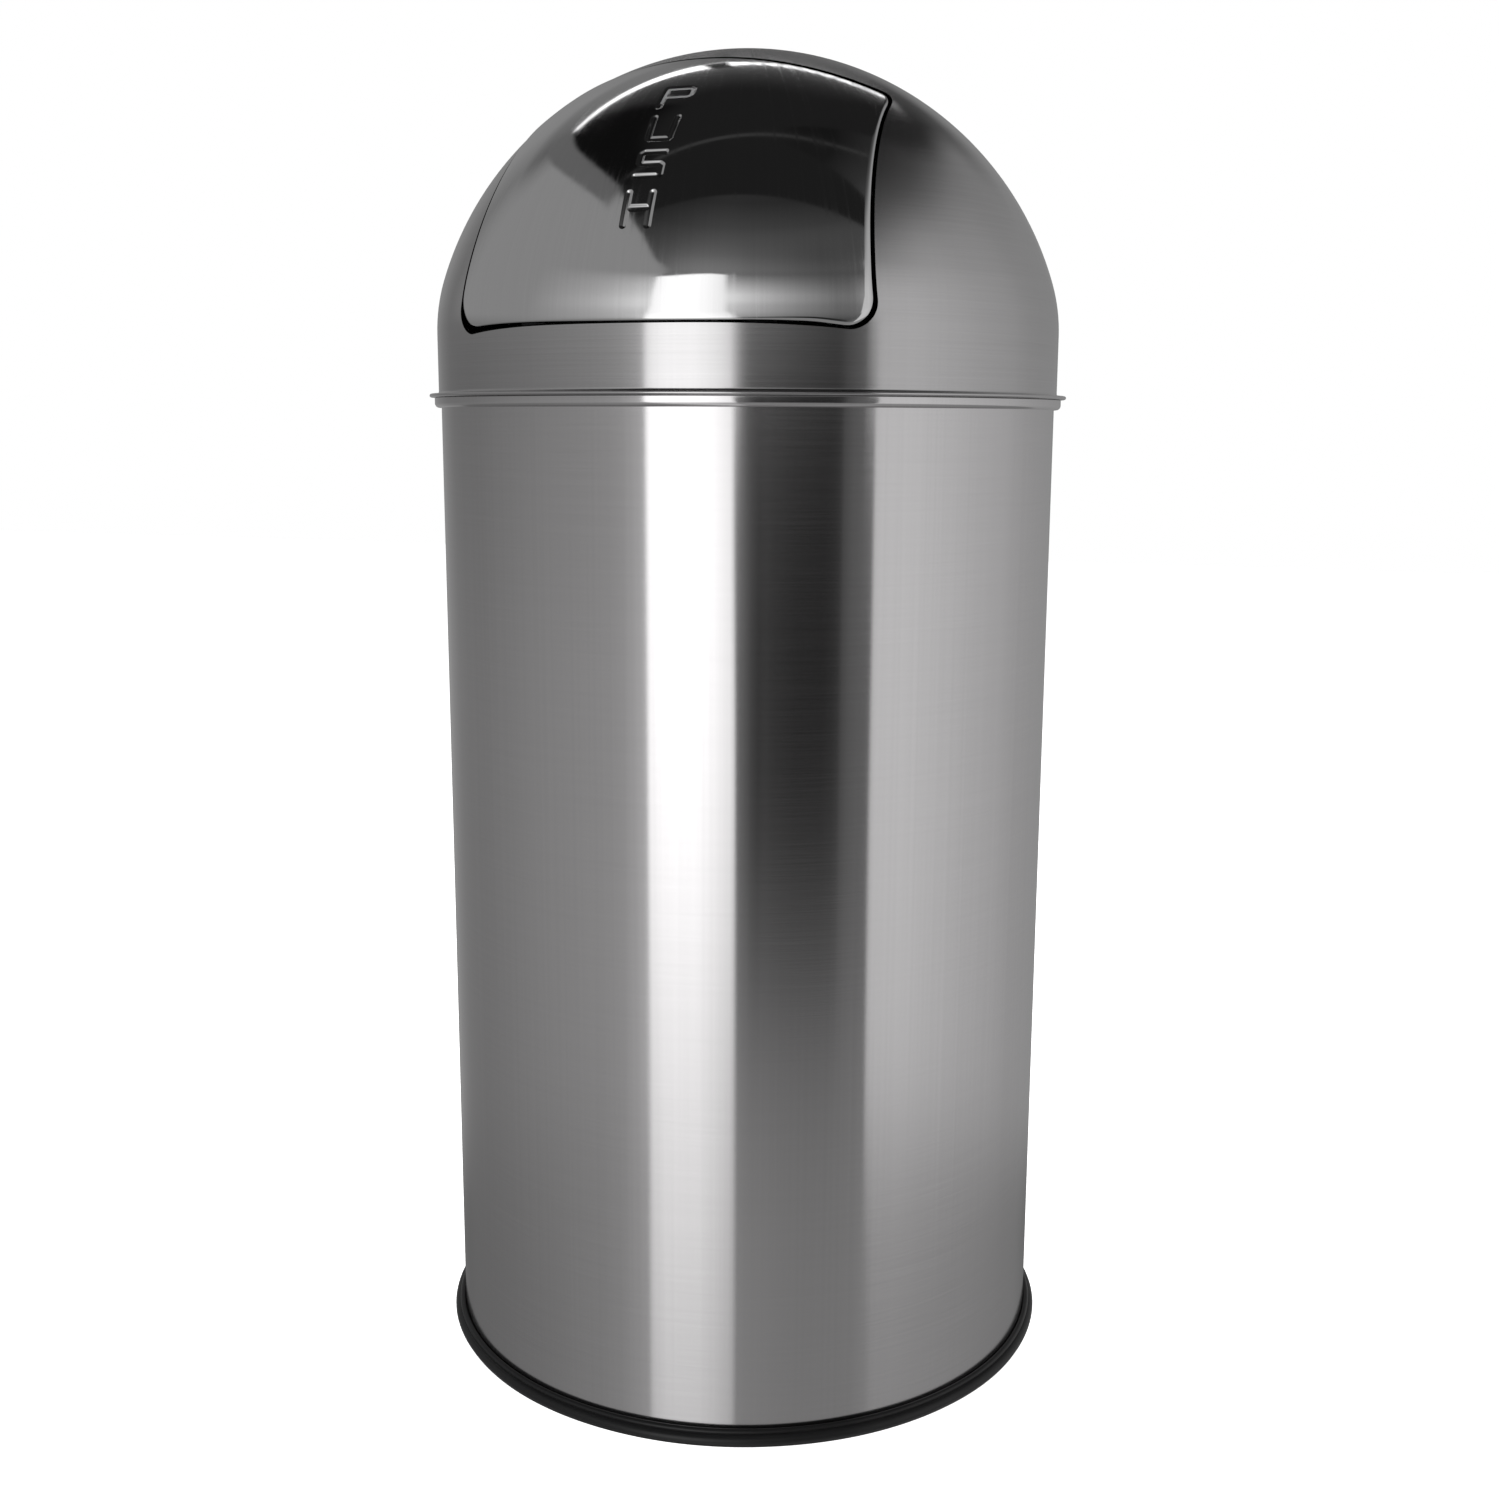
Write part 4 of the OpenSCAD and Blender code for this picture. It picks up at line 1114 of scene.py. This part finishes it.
    # floor
    floor_level = g.curve(az, [(-180, .15), (-130, .15), (-120, .17), (-110, .18), (-100, .19), (-90, .2), (-80, .214),
                               (-70, .227), (-60, .242), (-50, .266), (-40, .28), (-30, .314), (-20.5, .39), (12.9, .32),
                               (20, .30), (30, .28), (40, .266), (60, .265), (68, .30), (70, .342), (80, .342), (90, .325),
                               (100, .314), (120, .287), (140, .257), (160, .222), (180, .15)])
    near = g.span(el, -25.5, -21.0, 1, 0)
    near_front = g.curve(el, [(-24, 1), (-22, .93), (-20, .72), (-18, .35), (-16, .14), (-14, .05), (-12, 0)])
    level = g.mix(g.mix(front_side, near, near_front), level, floor_level)
    level = g.mix(box_side, level, box)
    # row of lamps at the back of the ceiling, and a faint seam across it
    row = g.curve(az, [(-180, 44.0), (-175, 45.3), (-170, 45.6), (-160, 45.7), (-150, 45.6), (-140, 44.7), (-130, 43.4), (-120, 42.2), (174, 40.2), (180, 44.0)])
    half = g.curve(az, [(-180, 1.4), (-161, 1.5), (-156, 2.4), (-150, 2.3), (-140, 1.7), (-130, 1.1), (-120, .6), (170, 1.1), (180, 1.4)])
    off = g.math("ABSOLUTE", g.math("SUBTRACT", el, row))
    bead = g.math("MULTIPLY", g.math("ADD", g.math("SINE", times(az, 2.4)), 1.0), g.span(az, -158, -160, 0, 0.3))
    lamps = times(g.span(g.math("ADD", g.math("SUBTRACT", off, half), bead), -0.5, 0.5, 1, 0),
                  g.math("MAXIMUM", g.span(az, -121, -123), g.span(az, 171, 176)))
    gaps = g.span(g.math("SINE", g.math("ADD", times(az, 1.821), 3.99)), .84, .97)
    gaps = times(gaps, g.math("MAXIMUM", g.span(az, -160.5, -161.5), g.span(az, 0, 1)), 0.7)
    lamps = times(lamps, g.math("SUBTRACT", 1.0, gaps))
    # a dark fitting between two of them
    holder = times(band(az, -157.4, -153.1, 0.5), g.span(g.math("ABSOLUTE", g.math("SUBTRACT", el, 46.2)), 3.2, 2.2))
    lamps = times(lamps, g.math("SUBTRACT", 1.0, holder))
    level = g.mix(holder, level, 0.05)
    level = g.mix(lamps, level, 2.0)
    seam_y = g.math("ADD", cy, g.math("ADD", times(cx, 0.48), -0.025))
    bent = g.math("MAXIMUM", g.math("SUBTRACT", cx, 0.25), 0.0)
    seam_y = g.math("ADD", seam_y, times(bent, bent, 0.9))
    seam = times(g.span(g.math("ABSOLUTE", seam_y), .006, .022, 1, 0), g.span(el, 55, 61))
    level = g.math("ADD", level, times(seam, 0.034))
    studio = g.node("Background", {0: g.vector(level, level, level), 1: 1.0})
    white = g.node("Background", {0: grey(1.0), 1: 1.0})
    seen = g.node("LightPath").outputs["Is Camera Ray"]
    g.node("OutputWorld", {0: g.node("MixShader", {0: seen, 1: studio.outputs[0], 2: white.outputs[0]}).outputs[0]})


build_world()


def floor_material():
    m, g, shader = new_material("pale_floor")
    p = g.node("TexCoord").outputs["Object"]
    cloud = g.noise(p, 2.0, 3.0, 0.5)
    base = g.mix_colour(g.math("MULTIPLY", cloud, 0.3), grey(0.86), grey(0.82))
    set_inputs(g, shader, Base_Color=base, Roughness=0.7, Normal=g.bump(g.noise(p, 400.0, 2.0), 0.05, 0.0001))
    shader.inputs["Emission Color"].default_value = grey(1.0)
    shader.inputs["Emission Strength"].default_value = 0.93
    return m


mesh = bpy.data.meshes.new("floor")
s = 6.0
mesh.from_pydata([(-s, -s, 0), (s, -s, 0), (s, s, 0), (-s, s, 0)], [], [(0, 1, 2, 3)])
floor = bpy.data.objects.new("floor", mesh)
bpy.context.scene.collection.objects.link(floor)
floor.data.materials.append(floor_material())
floor.visible_glossy = False


def area(name, place, target, size, energy, glossy=False):
    data = bpy.data.lights.new(name, "AREA")
    data.shape = "RECTANGLE"
    data.size, data.size_y = size
    data.energy = energy
    obj = bpy.data.objects.new(name, data)
    bpy.context.scene.collection.objects.link(obj)
    obj.location = place
    obj.rotation_euler = (Vector(target) - Vector(place)).to_track_quat("-Z", "Y").to_euler()
    obj.visible_glossy = glossy
    obj.visible_camera = False
    return obj


area("overhead", (0.3, -0.4, 2.6), (0, 0, 0.3), (2.6, 2.6), 95)
area("fill_left", (-2.2, -1.6, 1.4), (0, 0, 0.4), (1.6, 2.0), 22)

# ------------------------------------------------------------------ camera
C = Vector((0.3374, -0.9800, 0.5412))
F = Vector((-0.3184, 0.9300, -0.1836)).normalized()
R = F.cross(Vector((0, 0, 1))).normalized()
U = R.cross(F)
roll = 0.237 * DEG
X = R * math.cos(roll) + U * math.sin(roll)
Y = U * math.cos(roll) - R * math.sin(roll)
cam_data = bpy.data.cameras.new("camera")
cam_data.lens = 42.12
cam_data.sensor_width = 36.0
cam_data.sensor_fit = "HORIZONTAL"
cam_data.clip_start = 0.01
cam_data.clip_end = 50.0
cam = bpy.data.objects.new("camera", cam_data)
bpy.context.scene.collection.objects.link(cam)
cam.matrix_world = Matrix(((X.x, Y.x, -F.x, C.x), (X.y, Y.y, -F.y, C.y), (X.z, Y.z, -F.z, C.z), (0, 0, 0, 1)))
bpy.context.scene.camera = cam
bpy.context.scene.view_settings.view_transform = "Standard"
bpy.context.scene.view_settings.look = "None"
